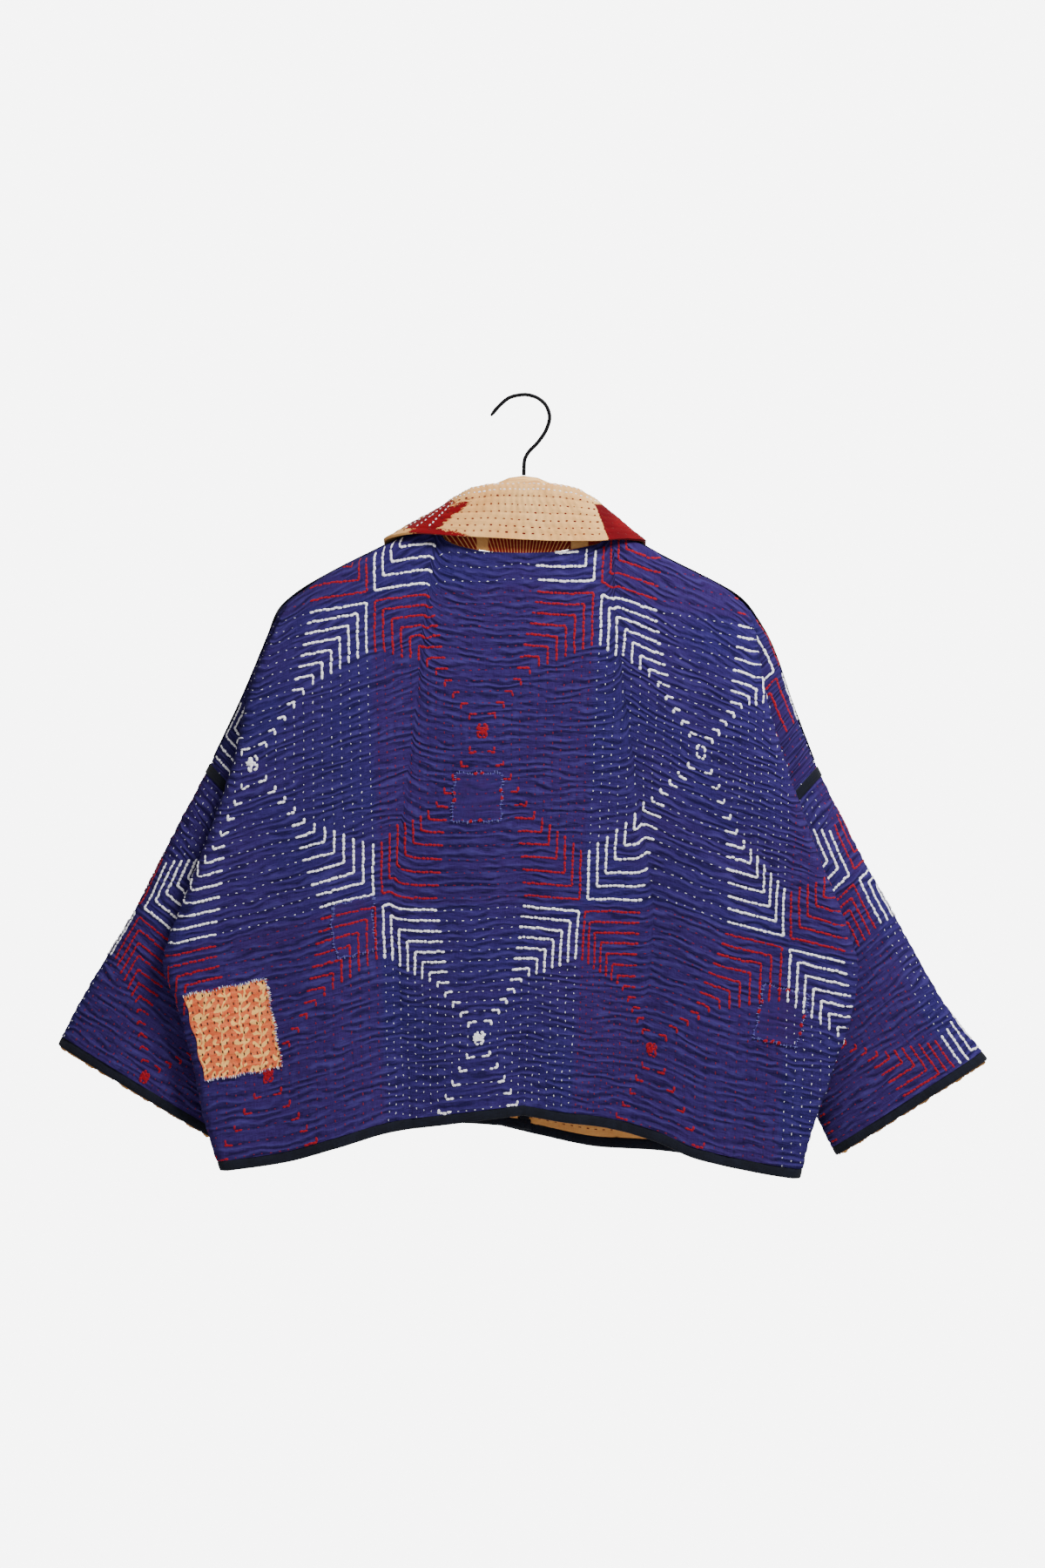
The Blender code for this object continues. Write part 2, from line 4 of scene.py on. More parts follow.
import bpy
import numpy as np
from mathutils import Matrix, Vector

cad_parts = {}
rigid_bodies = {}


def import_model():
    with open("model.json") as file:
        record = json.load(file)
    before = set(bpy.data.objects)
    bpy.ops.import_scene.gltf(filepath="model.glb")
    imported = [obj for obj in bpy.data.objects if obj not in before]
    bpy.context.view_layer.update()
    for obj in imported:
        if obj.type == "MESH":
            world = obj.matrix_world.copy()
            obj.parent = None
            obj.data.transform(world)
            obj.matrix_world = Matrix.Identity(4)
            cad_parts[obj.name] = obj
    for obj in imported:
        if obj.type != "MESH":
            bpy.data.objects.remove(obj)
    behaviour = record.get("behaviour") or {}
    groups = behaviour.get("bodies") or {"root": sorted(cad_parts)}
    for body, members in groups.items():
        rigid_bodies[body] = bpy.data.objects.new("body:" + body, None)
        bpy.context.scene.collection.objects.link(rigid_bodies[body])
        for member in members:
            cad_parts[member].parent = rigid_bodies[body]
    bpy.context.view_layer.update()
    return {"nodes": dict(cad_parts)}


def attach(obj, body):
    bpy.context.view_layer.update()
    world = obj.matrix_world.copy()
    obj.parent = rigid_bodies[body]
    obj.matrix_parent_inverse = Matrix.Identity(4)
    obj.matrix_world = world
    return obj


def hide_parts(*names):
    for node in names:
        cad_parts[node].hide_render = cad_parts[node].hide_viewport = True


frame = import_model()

# A quilted patchwork jacket, seen from its back, on a wooden clothes hanger.
# Shapes are worked out in millimetres and made in metres. X runs across the back,
# -Y is the side the back faces, +Z is up, and the wire hook carries it at the origin.
mm = 0.001
dice = np.random.default_rng(7)

# Cloth and trim thicknesses, as in the solids
cloth = dict(thick=2.4, binding=3.4, bindingWide=10.0, tape=1.2, patch=0.8, gap=0.3)

shape = dict(
    ridgeRound=9.2, neckPoint=90.0, foldRound=7.0, armHalfDeep=27.0, cuffHalfDeep=24.0,
    hangHigh=590.0, underarm=0.5, rollRound=3.2,
    deeper={-1: (20.0, 41.0), 1: (16.0, 41.0)}, deeperOver=(150.0, 95.0),
    neckColumns=[0, 34, 64, 80, 87.5, 89.3, 90],
    armColumns=[0.05, 0.15, 0.3, 0.5, 0.7, 0.86, 0.95, 1.0],
    unfoldRows=[0, 0.0047, 0.016, 0.04, 0.08], unfolded=[0, 0.12, 0.35, 0.75, 1.0],
    foldOpens=0.13, deepestAt=0.9, frontsMeet=(150, 90), toValley=12,
)
# Shallow folds that hang down each half: for the back (-1) and the fronts (1)
hangFolds = dict(high=3.4, count=2.1, lean={-1: 0.25, 1: 0.35}, shift=0.06, startsAt=0.12,
                 startOver=0.5, inner={-1: -0.1, 1: 0.1}, innerOver=0.3, outerOver=0.25)

# Half outlines as (distance from the centre line, height), one set a side
sides = {
    "left": dict(
        sign=-1,
        ridge=[(90, -130), (151, -160), (202, -186), (238, -210)],
        fold=[(238, -210), (255, -241), (282, -308), (298, -379), (326, -460), (352, -530),
              (370, -588), (358, -622), (340, -690), (328, -746), (311, -800)],
        arm=[(252, -224), (262, -247), (289, -311), (321, -379)],
        valley=[(246, -218), (240, -300), (226, -400), (204, -509)],
        side=[(204, -509), (204, -560), (225, -650), (255, -730), (288, -797)],
        hem=[(0, -743), (73, -752), (139, -761), (196, -777), (253, -792), (311, -800)],
        frontHem=[(-8, -761), (30, -756), (73, -754), (139, -763), (196, -778),
                  (253, -792), (311, -800)],
        frontEdge=(1.0, -8.0),
        frontLayer=-2.6,
        sleeveOut=[(321, -379), (356, -444), (400, -531), (457, -626), (481, -672)],
        sleeveIn=[(210, -502.5), (240, -558), (264, -620), (292, -695), (319, -769)],
        collarEdge=[(0, -28, -149), (37, -28, -147), (76, -27, -145), (114, -20, -142.5),
                    (144, 0, -149), (143, 16, -159), (128, 27, -182), (88, 36, -216),
                    (44, 40, -246), (4, 41, -258)],
    ),
    "right": dict(
        sign=1,
        ridge=[(90, -132), (126, -157), (212, -203), (226, -214)],
        fold=[(226, -214), (238, -243), (247, -300), (269, -379), (306, -481), (332, -548),
              (343, -590), (339, -629), (316, -703), (295, -762), (284, -808)],
        arm=[(238, -229), (255, -257), (277, -319), (301, -382)],
        valley=[(233, -222), (226, -300), (211, -400), (190, -508)],
        side=[(190, -508), (190, -560), (208, -650), (232, -730), (262, -802)],
        hem=[(0, -743), (47, -751), (81, -755), (139, -770), (182, -788), (269, -806),
             (284, -808)],
        frontHem=[(-22, -757), (20, -767), (80, -779), (140, -783), (179, -788),
                  (230, -800), (284, -808)],
        frontEdge=(1.0, -22.0),
        frontLayer=2.6,
        sleeveOut=[(301, -382), (342, -464), (390, -551), (436, -631), (480, -687)],
        sleeveIn=[(196, -501.5), (226, -558), (252, -625), (286, -705), (325, -785)],
        collarEdge=[(0, -28, -149), (40, -28, -150.5), (74, -27, -150.5), (103, -20, -148.5),
                    (126, 0, -150.5), (126, 16, -161), (116, 27, -184), (84, 36, -218),
                    (44, 40, -246), (4, 41, -258)],
    ),
}
neckLine = {
    -1: [(0, 18, -163), (34, 17.6, -161.6), (64, 15.4, -156.5)],
    1: [(0, 24, -232), (34, 23.5, -226), (64, 20, -202)],
}
neckClimb = {
    -1: [(80, 12.5, -20), (87.5, 10.4, -10.5), (89.3, 7.6, -3.6), (90, 0, 0)],
    1: [(80, 14.5, -44), (87.5, 11.5, -17), (89.3, 8.0, -4.0), (90, 0, 0)],
}


def ease(x):
    x = np.clip(x, 0.0, 1.0)
    return x * x * (3 - 2 * x)


def mix(a, b, t):
    return a + (b - a) * t


def curve(knots, x):  # a smooth curve through (x, value) knots that never swings past them
    xs = np.array([k[0] for k in knots], float)
    ys = np.array([k[1] for k in knots], float)
    slopes = np.diff(ys) / np.diff(xs)
    both = slopes[:-1] * slopes[1:]
    total = slopes[:-1] + slopes[1:]
    inner = np.where(both > 0, 2 * both / np.where(total == 0, 1, total), 0.0)
    tangents = np.concatenate([slopes[:1], inner, slopes[-1:]])
    x = np.clip(np.asarray(x, float), xs[0], xs[-1])
    i = np.clip(np.searchsorted(xs, x, side="left") - 1, 0, len(xs) - 2)
    wide = xs[i + 1] - xs[i]
    t = (x - xs[i]) / wide
    return ((1 + 2 * t) * (1 - t) ** 2 * ys[i] + t * (1 - t) ** 2 * wide * tangents[i]
            + t * t * (3 - 2 * t) * ys[i + 1] - t * t * (1 - t) * wide * tangents[i + 1])


def path(points, t):  # places at shares t of the way along a smooth line, last axis is x, z
    lengths = np.concatenate([[0], np.cumsum([math.dist(a, b) for a, b in zip(points, points[1:])])])
    shares = lengths / lengths[-1]
    return np.stack([curve(list(zip(shares, [p[k] for p in points])), t)
                     for k in range(len(points[0]))], axis=-1)


def topEdge(side, face, x):  # depth and height of a panel's top: neckline, then shoulder line
    shoulder = side["ridge"][0][1]
    knots = neckLine[face] + [(a, b, shoulder + c) for a, b, c in neckClimb[face]]
    open = np.asarray(x) < shape["neckPoint"]
    depth = np.where(open, curve([(k[0], k[1]) for k in knots], x), 0.0)
    high = np.where(open, curve([(k[0], k[2]) for k in knots], x), curve(side["ridge"], x))
    return depth, high


def rounding(drop):
    r = shape["ridgeRound"]
    return np.sqrt(np.maximum(0, r * r - np.maximum(0, r - drop) ** 2))


def openPart(side, face, f, v):  # rows v by columns f of the part between centre and fold
    f, v = np.asarray(f, float)[None, :], np.asarray(v, float)[:, None]
    fold = path(side["fold"], v[:, 0])
    foldX, foldZ = fold[:, 0:1], fold[:, 1:2]
    endX = foldX - shape["foldRound"] * ease(v / shape["foldOpens"])
    edge = side["frontEdge"] if face > 0 else (0.0, 0.0)
    centre = mix(edge[0], edge[1], v)
    x = centre + f * (endX - centre)
    topX = edge[0] + f * (side["fold"][0][0] - edge[0])
    depth, topZ = topEdge(side, face, np.maximum(0.0, topX))
    hem = side["frontHem"] if face > 0 else side["hem"]
    hemZ = curve(hem, edge[1] + f * (side["fold"][-1][0] - edge[1]))
    straight = mix(side["fold"][0][1], side["fold"][-1][1], v)
    z = mix(topZ, hemZ, v) + f * f * (foldZ - straight)
    drop = v * shape["hangHigh"]
    start = np.where(topX < shape["neckPoint"], np.maximum(0, side["ridge"][0][1] - topZ), 0.0)
    spread = ease(f / shape["deepestAt"])
    deeper = mix(*shape["deeper"][face], spread)
    deeper = deeper * (1 - np.exp(-drop / mix(*shape["deeperOver"], spread)))
    y = depth + rounding(start + drop) - rounding(start) + deeper + softFolds(side, face, f, v)
    if face > 0:
        meet, over = shape["frontsMeet"]
        y = y + side["frontLayer"] * ease((meet - x) / over)
    return np.stack(np.broadcast_arrays(x, y, z), axis=-1)


def softFolds(side, face, f, v):  # two shallow hanging folds on each half
    low = ease((v - hangFolds["startsAt"]) / hangFolds["startOver"])
    turns = hangFolds["count"] * f - hangFolds["lean"][face] * v + hangFolds["shift"] * side["sign"]
    wave = np.cos(2 * np.pi * turns)
    inside = ease((f - hangFolds["inner"][face]) / hangFolds["innerOver"])
    return hangFolds["high"] * low * wave * ease((1 - f) / hangFolds["outerOver"]) * inside


def arch(q):  # half of a flattened tube's section, from its inner edge (0) to its outer (1)
    power = np.where(np.asarray(q) < 0.5, 2.0, 2.6)
    return (1 - np.abs(2 * q - 1) ** power) ** (1 / power)


def turnedPart(side, v, start):  # from the fold back in to the valley or side seam, then to the arm
    foldZ = path(side["fold"], v)[1]
    startX, outer, startZ = start
    turn = shape["foldRound"] * float(ease(v / shape["foldOpens"]))
    backIn = outer - 2 * turn
    share = v / shape["underarm"]
    above = share <= 1.0001
    if above:
        lowX, lowZ = path(side["valley"], share)
        halfDeep = float(rounding(v * shape["hangHigh"]))
        halfDeep += (shape["armHalfDeep"] - shape["ridgeRound"]) * float(ease(share))
        inner = 0.85 * halfDeep * (1 - min(1, share) ** 3)
    else:
        lowX, lowZ = path(side["side"], (share - 1) / (1 / shape["underarm"] - 1))
        halfDeep = inner = 0.0
    places = []
    for angle in (45, 90, 135, 180):
        a = math.radians(angle)
        places.append((startX + turn * math.sin(a), outer - turn + turn * math.cos(a), foldZ))
    radius = (backIn - inner) / 2
    run = min(radius, 0.5 * (startX - lowX))
    for s in (1 / 3, 2 / 3):
        places.append((mix(startX, lowX + run, s), backIn, mix(foldZ, lowZ, s)))
    for angle in (0, 45, 90, 135, 180):
        a = math.radians(angle)
        bulge = run * math.cos(a) ** 2 * (1.0 if angle <= 90 else 0.2)
        places.append((lowX + bulge, inner + radius + radius * math.cos(a), lowZ))
    if above:
        armX, armZ = path(side["arm"], share)
        for q in shape["armColumns"]:
            base = inner if q < 0.5 else 0.0
            y = base + (halfDeep - base) * float(arch(q)) ** (1 + 3 * base / shape["armHalfDeep"])
            places.append((mix(lowX, armX, q), y, mix(lowZ, armZ, q)))
    open = float(np.interp(v, shape["unfoldRows"], shape["unfolded"]))
    last = places[-1]
    for i, p in enumerate(places):
        t = (i + 1) / len(places)
        level = (mix(startX, last[0], t), mix(outer, 0, t ** 3), mix(startZ, last[2], t))
        places[i] = tuple(mix(a, b, open) for a, b in zip(level, p))
    return [tuple(start)] + places


def smoothThrough(points, count):  # evenly spaced places on a smooth line through the points
    points = np.asarray(points, float)
    steps = np.maximum(np.linalg.norm(np.diff(points, axis=0), axis=1), 1e-6)
    along = np.concatenate([[0], np.cumsum(steps)])
    at = np.linspace(0, along[-1], count)
    return np.stack([curve(list(zip(along, points[:, k])), at) for k in range(3)], axis=-1)


def halfPanel(side, face, rows, f, behind, armward):
    # One half of a panel: columns to the fold, then behind it, then out to the arm line
    last = shape["toValley"]
    flat = openPart(side, face, f, rows)
    wide = len(f) + behind - 1 + armward - 1
    grid = np.full((len(rows), wide, 3), np.nan)
    grid[:, :len(f)] = flat
    for r, v in enumerate(rows):
        places = turnedPart(side, v, flat[r, -1])
        grid[r, len(f) - 1:len(f) - 1 + behind] = smoothThrough(places[:last], behind)
        if len(places) > last:
            grid[r, len(f) + behind - 2:] = smoothThrough(places[last - 1:], armward)
    grid[:, :, 0] *= side["sign"]
    grid[:, :, 1] *= face
    return grid


def cellsOf(grid, flip, closed=False):
    # Four-cornered faces of a grid as vertex numbers, wound to face out of the garment
    rows, columns = grid.shape[:2]
    ids = np.arange(rows * columns).reshape(rows, columns)
    right = np.roll(ids, -1, axis=1) if closed else ids[:, 1:]
    left = ids if closed else ids[:, :-1]
    cells = np.stack([left[:-1], left[1:], right[1:], right[:-1]], axis=-1).reshape(-1, 4)
    there = ~np.isnan(grid[:, :, 0]).reshape(-1)
    cells = cells[there[cells].all(axis=1)]
    return cells[:, ::-1] if flip else cells


def facing(grid, cells):
    flat = grid.reshape(-1, 3)
    across = np.cross(flat[cells[:, 2]] - flat[cells[:, 0]], flat[cells[:, 3]] - flat[cells[:, 1]])
    normals = np.zeros_like(flat)
    for k in range(4):
        np.add.at(normals, cells[:, k], across)
    return unit(normals).reshape(grid.shape)


def deselectAll():
    for thing in bpy.context.view_layer.objects:
        thing.select_set(False)


def newObject(name, verts, faces, materials, faceSlots=None, uv=None, marks=None, sharp=60):
    # A mesh in metres from places in millimetres, with its cloth map and attributes
    mesh = bpy.data.meshes.new(name)
    mesh.from_pydata((np.asarray(verts) * mm).tolist(), [], faces)
    for material in materials:
        mesh.materials.append(material)
    if faceSlots is not None:
        mesh.polygons.foreach_set("material_index", np.asarray(faceSlots, np.int32))
    loops = np.empty(len(mesh.loops), np.int32)
    mesh.loops.foreach_get("vertex_index", loops)
    if uv is not None:
        layer = mesh.uv_layers.new(name="clothMap")
        layer.data.foreach_set("uv", (np.asarray(uv) * mm)[loops].astype(np.float32).reshape(-1))
    for key, values in (marks or {}).items():
        mark = mesh.attributes.new(key, "FLOAT", "POINT")
        mark.data.foreach_set("value", np.asarray(values, np.float32))
    mesh.validate()
    mesh.shade_smooth()
    mesh.set_sharp_from_angle(angle=math.radians(sharp))
    made = bpy.data.objects.new(name, mesh)
    bpy.context.collection.objects.link(made)
    return made


def closedWall(name, grid, cells, flip, outer, under, materials, uv, marks=None, pickRows=None,
               pickColumns=None, closed=False):
    # A closed wall: every cell outside, and inside only the picked rows and columns
    rows, columns = grid.shape[:2]
    pickRows = pickRows or list(range(rows))
    pickColumns = pickColumns or list(range(columns))
    have = {tuple(sorted(c)) for c in cells.tolist()}
    faces = cells.tolist()
    slots = [0] * len(faces)
    total = rows * columns
    edges = {}
    pairs = list(zip(pickColumns, pickColumns[1:] + ([0] if closed else [])))
    for r0, r1 in zip(pickRows, pickRows[1:]):
        for c0, c1 in pairs:
            c2 = (c0 + 1) % columns
            corners = (r0 * columns + c0, (r0 + 1) * columns + c0, (r0 + 1) * columns + c2, r0 * columns + c2)
            if tuple(sorted(corners)) not in have:
                continue
            ring = [(r0, c0), (r1, c0), (r1, c1), (r0, c1)]
            if flip:
                ring.reverse()
            faces.append([total + r * columns + c for r, c in reversed(ring)])
            slots.append(1 if len(materials) > 1 else 0)
            for a, b in zip(ring, ring[1:] + ring[:1]):
                edges[a, b] = True
    for a, b in edges:
        if (b, a) not in edges:
            faces.append(alongEdge(b, a, columns, closed)
                         + [total + a[0] * columns + a[1], total + b[0] * columns + b[1]])
            slots.append(0)
    used = sorted({i for f in faces for i in f})
    renumber = dict(zip(used, range(len(used))))
    verts = np.concatenate([outer.reshape(-1, 3), under.reshape(-1, 3)])[used]
    maps = np.concatenate([uv.reshape(-1, 2)] * 2)[used]
    kept = {key: np.concatenate([values.reshape(-1), np.zeros(total)])[used]
            for key, values in (marks or {}).items()}
    return newObject(name, verts, [[renumber[i] for i in f] for f in faces], materials, slots,
                     maps, kept)


def alongEdge(a, b, columns, closed):  # the outside vertices from corner a to corner b
    (r0, c0), (r1, c1) = a, b
    if r0 != r1:
        way = 1 if r1 > r0 else -1
        return [r * columns + c0 for r in range(r0, r1 + way, way)]
    if closed and abs(c0 - c1) > columns / 2:
        c0, c1 = c0 or columns, c1 or columns
    way = 1 if c1 > c0 else -1
    return [r0 * columns + c % columns for c in range(c0, c1 + way, way)]


# The running stitch: cells of nested rectangles, sewn in white and in red by turns
pattern = dict(
    rings=13, knotAcross=0.5, knotDown=0.44, waver=0.9,
    armAcross=(57.0, 6.4, 7.5), armDown=(51.0, 7.0, 6.0),  # longest, less for each ring in, least
    armShare=0.46, pickPitch=8.9, pickClear=3, slack=0.5, jitter=(0.3, 0.2), edgeClear=1.2,
)
# Puckers of the cloth. A share is given beside a knot, where the rings run down, and above or
# below it; the other pairs are a height and the length that it changes over
puckers = dict(
    relief=0.8, reliefShare=(0.4, 1.0), crestPower=0.75, uneven=(0.35, 34), ripple=12.4, rippleHigh=0.7,
    rippleShare=(1.0, 0.45), drift=(1.6, 80), sway=(0.5, 31), small=(0.4, 0.35, 16),
)
stitchSizes = dict(  # length, width, height, gap to the next
    whiteBold=(5.1, 2.6, 1.25, 4.1), redBold=(5.1, 2.45, 1.05, 4.1),
    whitePick=(2.0, 0.72, 0.4, 0), redPick=(2.6, 1.25, 0.4, 0),
    whiteDash=(3.6, 1.4, 0.6, 0), redDash=(2.7, 1.7, 0.6, 0), whip=(3.8, 0.7, 0.5, 0),
)
# How far the pattern's rows lie above the panel's own, by distance out along the top
rowLift = dict(
    left=[(0, 23.6), (71, 12.2), (82, 3.8), (90, -18), (98, -14.8), (105, -11.8), (130, -1.9),
          (160, 8.7), (173, 12.9), (199, 22.7), (230, 32.6), (238, 35)],
    right=[(0, 23.6), (71, 12.8), (82, 5.2), (90, -17.4), (110, -9.2), (132, -2.4), (152, 6.4),
           (194, 21.3), (226, 34)],
    front=[(0, 72), (34, 66), (64, 44), (80, 22), (90, -16), (110, -9), (130, 0), (240, 30)],
)
liftReach = dict(back=250.0, front=300.0)
layouts = dict(  # column lines at the second row line and at the third, and the row lines
    back=dict(columns=[(-800, -815), (-582, -597), (-365, -380), (-159, -150), (77, 61), (283, 272),
                       (480, 490), (678, 708), (896, 926)],
              rows=[-260, 53, 366, 679], white=1,
              knots={(2, 1): (0.42, 0.43), (4, 2): (0.37, 0.44), (4, 1): (0.55, 0.43)},
              dense=[(2, 1), (3, 1), (3, 2), (4, 2), (2, 2)]),
    armRight=dict(columns=[(-304, -304), (9, 9), (322, 322)], rows=[-157, 61, 279], white=1, knots={}),
    armLeft=dict(columns=[(-263, -263), (-17, -17), (230, 230)], rows=[-103, 167, 437], white=1, knots={}),
    frontLeft=dict(columns=[(-250, -250), (-36, -36), (182, 190), (400, 412), (620, 630)],
                   rows=[-190, 123, 436, 749], white=0, knots={}),
    frontRight=dict(columns=[(-250, -250), (-52, -52), (166, 176), (384, 400), (604, 618)],
                    rows=[-190, 123, 436, 749], white=1, knots={}),
    sleeveLeft=dict(columns=[(-405, -405), (-196, -196), (13, 13), (200, 200), (409, 409)],
                    rows=[-143, 170, 458], white=0, knots={(2, 1): (0.49, 0.5)},
                    dense=[(2, 1)]),
    sleeveRight=dict(columns=[(-402, -402), (-192, -192), (28, 39), (238, 249), (448, 459)],
                     rows=[-195, 118, 363], white=0, knots={}),
)


def waves(u, v, seed, size, count=7):  # slow smooth wandering between -1 and 1
    turn = np.random.default_rng(seed)
    total = np.zeros(np.broadcast(u, v).shape)
    for _ in range(count):
        angle, phase = turn.uniform(0, 2 * np.pi, 2)
        length = size * turn.uniform(0.6, 1.7)
        total = total + np.sin((u * np.cos(angle) + v * np.sin(angle)) * 2 * np.pi / length + phase)
    return total / count ** 0.5 / 1.4


def waver(u, v):  # how far the hand strays from the drawn lines
    return pattern["waver"] * waves(u, v, 11, 70), pattern["waver"] * waves(u, v, 12, 70)


def columnLines(layout, v):
    rows = layout["rows"]
    share = (v - rows[1]) / (rows[2] - rows[1])
    return np.stack([top + (low - top) * share for top, low in layout["columns"]])


def inCell(layout, u, v):  # place from the cell's knot (-1 to 1 each way) and whether white
    du, dv = waver(u, v)
    u, v = u + du, v + dv
    rows = np.array(layout["rows"], float)
    j = np.clip(np.searchsorted(rows, v) - 1, 0, len(rows) - 2)
    lines = columnLines(layout, v)
    i = np.clip((u[None] > lines).sum(0) - 1, 0, len(lines) - 2)
    left = np.take_along_axis(lines, i[None], 0)[0]
    right = np.take_along_axis(lines, i[None] + 1, 0)[0]
    across = np.full(u.shape, pattern["knotAcross"])
    down = np.full(u.shape, pattern["knotDown"])
    for (ci, cj), (ka, kd) in layout["knots"].items():
        here = (i == ci) & (j == cj)
        across[here], down[here] = ka, kd
    knotU = mix(left, right, across)
    knotV = mix(rows[j], rows[j + 1], down)
    a = np.where(u < knotU, (u - knotU) / (knotU - left), (u - knotU) / (right - knotU))
    b = np.where(v < knotV, (v - knotV) / (knotV - rows[j]), (v - knotV) / (rows[j + 1] - knotV))
    return np.clip(a, -1.2, 1.2), np.clip(b, -1.2, 1.2), (i + j) % 2 == layout["white"]


def relief(layout, u, v):  # height of the puckers above the stitch lines, and which cells are red
    a, b, white = inCell(layout, u, v)
    ring = np.maximum(np.abs(a), np.abs(b)) * pattern["rings"]
    beside = np.abs(a) > np.abs(b)
    crest = np.abs(np.cos(np.pi * ring)) ** puckers["crestPower"]
    (drift, driftSize), (sway, swayLong) = puckers["drift"], puckers["sway"]
    drift = drift * waves(u, v, 21, driftSize) + sway * np.sin(2 * np.pi * u / swayLong)
    ripple = 0.5 + 0.5 * np.sin(2 * np.pi * v / puckers["ripple"] + drift)
    uneven, unevenSize = puckers["uneven"]
    uneven = 1 + uneven * waves(u, v, 22, unevenSize)
    high = puckers["relief"] * crest * uneven * np.where(beside, *puckers["reliefShare"])
    high = high + puckers["rippleHigh"] * ripple * np.where(beside, *puckers["rippleShare"])
    small, squeeze, smallSize = puckers["small"]
    high = high + small * waves(u * squeeze, v, 23, smallSize)
    return high, crest, np.where(white, 0.0, 1.0)


def placeOn(region, u, v):  # places and normals on the quilt's outside at cloth places u, v
    rowsV = region["v"]
    if "toRow" in region:
        v = region["toRow"](u, v)
    r = np.interp(v, rowsV, np.arange(len(rowsV)))
    low = np.clip(np.floor(r).astype(int), 0, len(rowsV) - 2)
    share = r - low
    fine = (v >= rowsV[0]) & (v <= rowsV[-1])
    place, normal = np.zeros((len(u), 3)), np.zeros((len(u), 3))
    for row in np.unique(low):
        mine = low == row
        for k, weight in ((row, 1 - share[mine]), (row + 1, share[mine])):
            line = region["u"][k]
            real = ~np.isnan(region["outer"][k, :, 0])
            clear = pattern["edgeClear"]
            fine[mine] &= (u[mine] > line[real].min() + clear) & (u[mine] < line[real].max() - clear)
            for found, source in ((place, region["outer"]), (normal, region["normals"])):
                for axis in range(3):
                    found[mine, axis] += weight * np.interp(u[mine], line[real], source[k, real, axis])
    return place, unit(normal), fine


def dashes(start, end, length, pitch):  # starts and ends of stitches spread along a line
    count = max(1, int(round((end - start) / pitch)))
    middle = start + (np.arange(count) + 0.5) * (end - start) / count
    return middle - length / 2, middle + length / 2


def patternStitches(layout):
    # Every stitch of the pattern as kind: rows of (u0, v0, u1, v1) in cloth places
    made = {kind: [] for kind in stitchSizes}
    rows = layout["rows"]
    for j in range(len(rows) - 1):
        for i in range(len(layout["columns"]) - 1):
            across, down = layout["knots"].get((i, j), (pattern["knotAcross"], pattern["knotDown"]))
            knotV = mix(rows[j], rows[j + 1], down)
            white = (i + j) % 2 == layout["white"]
            bold, pick = ("whiteBold", "whitePick") if white else ("redBold", "redPick")
            for ring in range(1, pattern["rings"] + 1):
                r = (ring - 0.5) / pattern["rings"]
                armAcross, armDown = (max(least, longest - less * (pattern["rings"] - ring))
                                      for longest, less, least in (pattern["armAcross"], pattern["armDown"]))
                top, low = knotV - r * (knotV - rows[j]), knotV + r * (rows[j + 1] - knotV)
                ends = []
                for v in (top, low):
                    lines = columnLines(layout, np.array(v))
                    knotU = mix(lines[i], lines[i + 1], across)
                    ends.append((knotU - r * (knotU - lines[i]), knotU + r * (lines[i + 1] - knotU)))
                for (u0, u1), v in zip(ends, (top, low)):
                    addSide(made, bold, pick, armAcross, u0, u1, lambda s, v=v: (s, v + 0 * s))
                for k in (0, 1):
                    ua, ub = ends[0][k], ends[1][k]
                    addSide(made, bold, pick, armDown, top, low,
                            lambda s, a=ua, b=ub: (a + (b - a) * (s - top) / (low - top), s))
            if (i, j) in layout.get("dense", ()):
                lines = columnLines(layout, np.array(knotV))
                made[bold].append(knotLines(mix(lines[i], lines[i + 1], across), knotV))
    return {kind: np.concatenate(rows) if rows else np.zeros((0, 4)) for kind, rows in made.items()}


def knotLines(u, v, count=15, reach=4.6, length=6.4):
    # Stitches that cross one another in a small round knot
    turn = dice.uniform(0, 2 * np.pi, count)
    out = reach * np.sqrt(dice.uniform(0, 1, count))
    at = dice.uniform(0, 2 * np.pi, count)
    middle = np.stack([u + out * np.cos(at), v + out * np.sin(at)], axis=1)
    half = np.stack([np.cos(turn), np.sin(turn)], axis=1) * length / 2
    return np.concatenate([middle - half, middle + half], axis=1)


def addSide(made, bold, pick, arm, start, end, where):
    # One side of a ring: a bold arm from each corner and small stitches between
    arm = min(arm, pattern["armShare"] * (end - start))
    boldLong, _, _, boldPitch = stitchSizes[bold]
    pieces = [(bold, dashes(start, start + arm, min(boldLong, arm), boldPitch)),
              (bold, dashes(end - arm, end, min(boldLong, arm), boldPitch))]
    middle = end - start - 2 * arm
    if middle > pattern["pickPitch"]:
        clear = pattern["pickClear"]
        pieces.append((pick, dashes(start + arm + clear, end - arm - clear, stitchSizes[pick][0],
                                    pattern["pickPitch"])))
    for kind, (s0, s1) in pieces:
        s0 = s0 + dice.uniform(-pattern["slack"], pattern["slack"], len(s0))
        s1 = s1 + dice.uniform(-pattern["slack"], pattern["slack"], len(s1))
        u0, v0 = where(s0)
        u1, v1 = where(s1)
        made[kind].append(np.stack([u0, v0, u1, v1], axis=1))


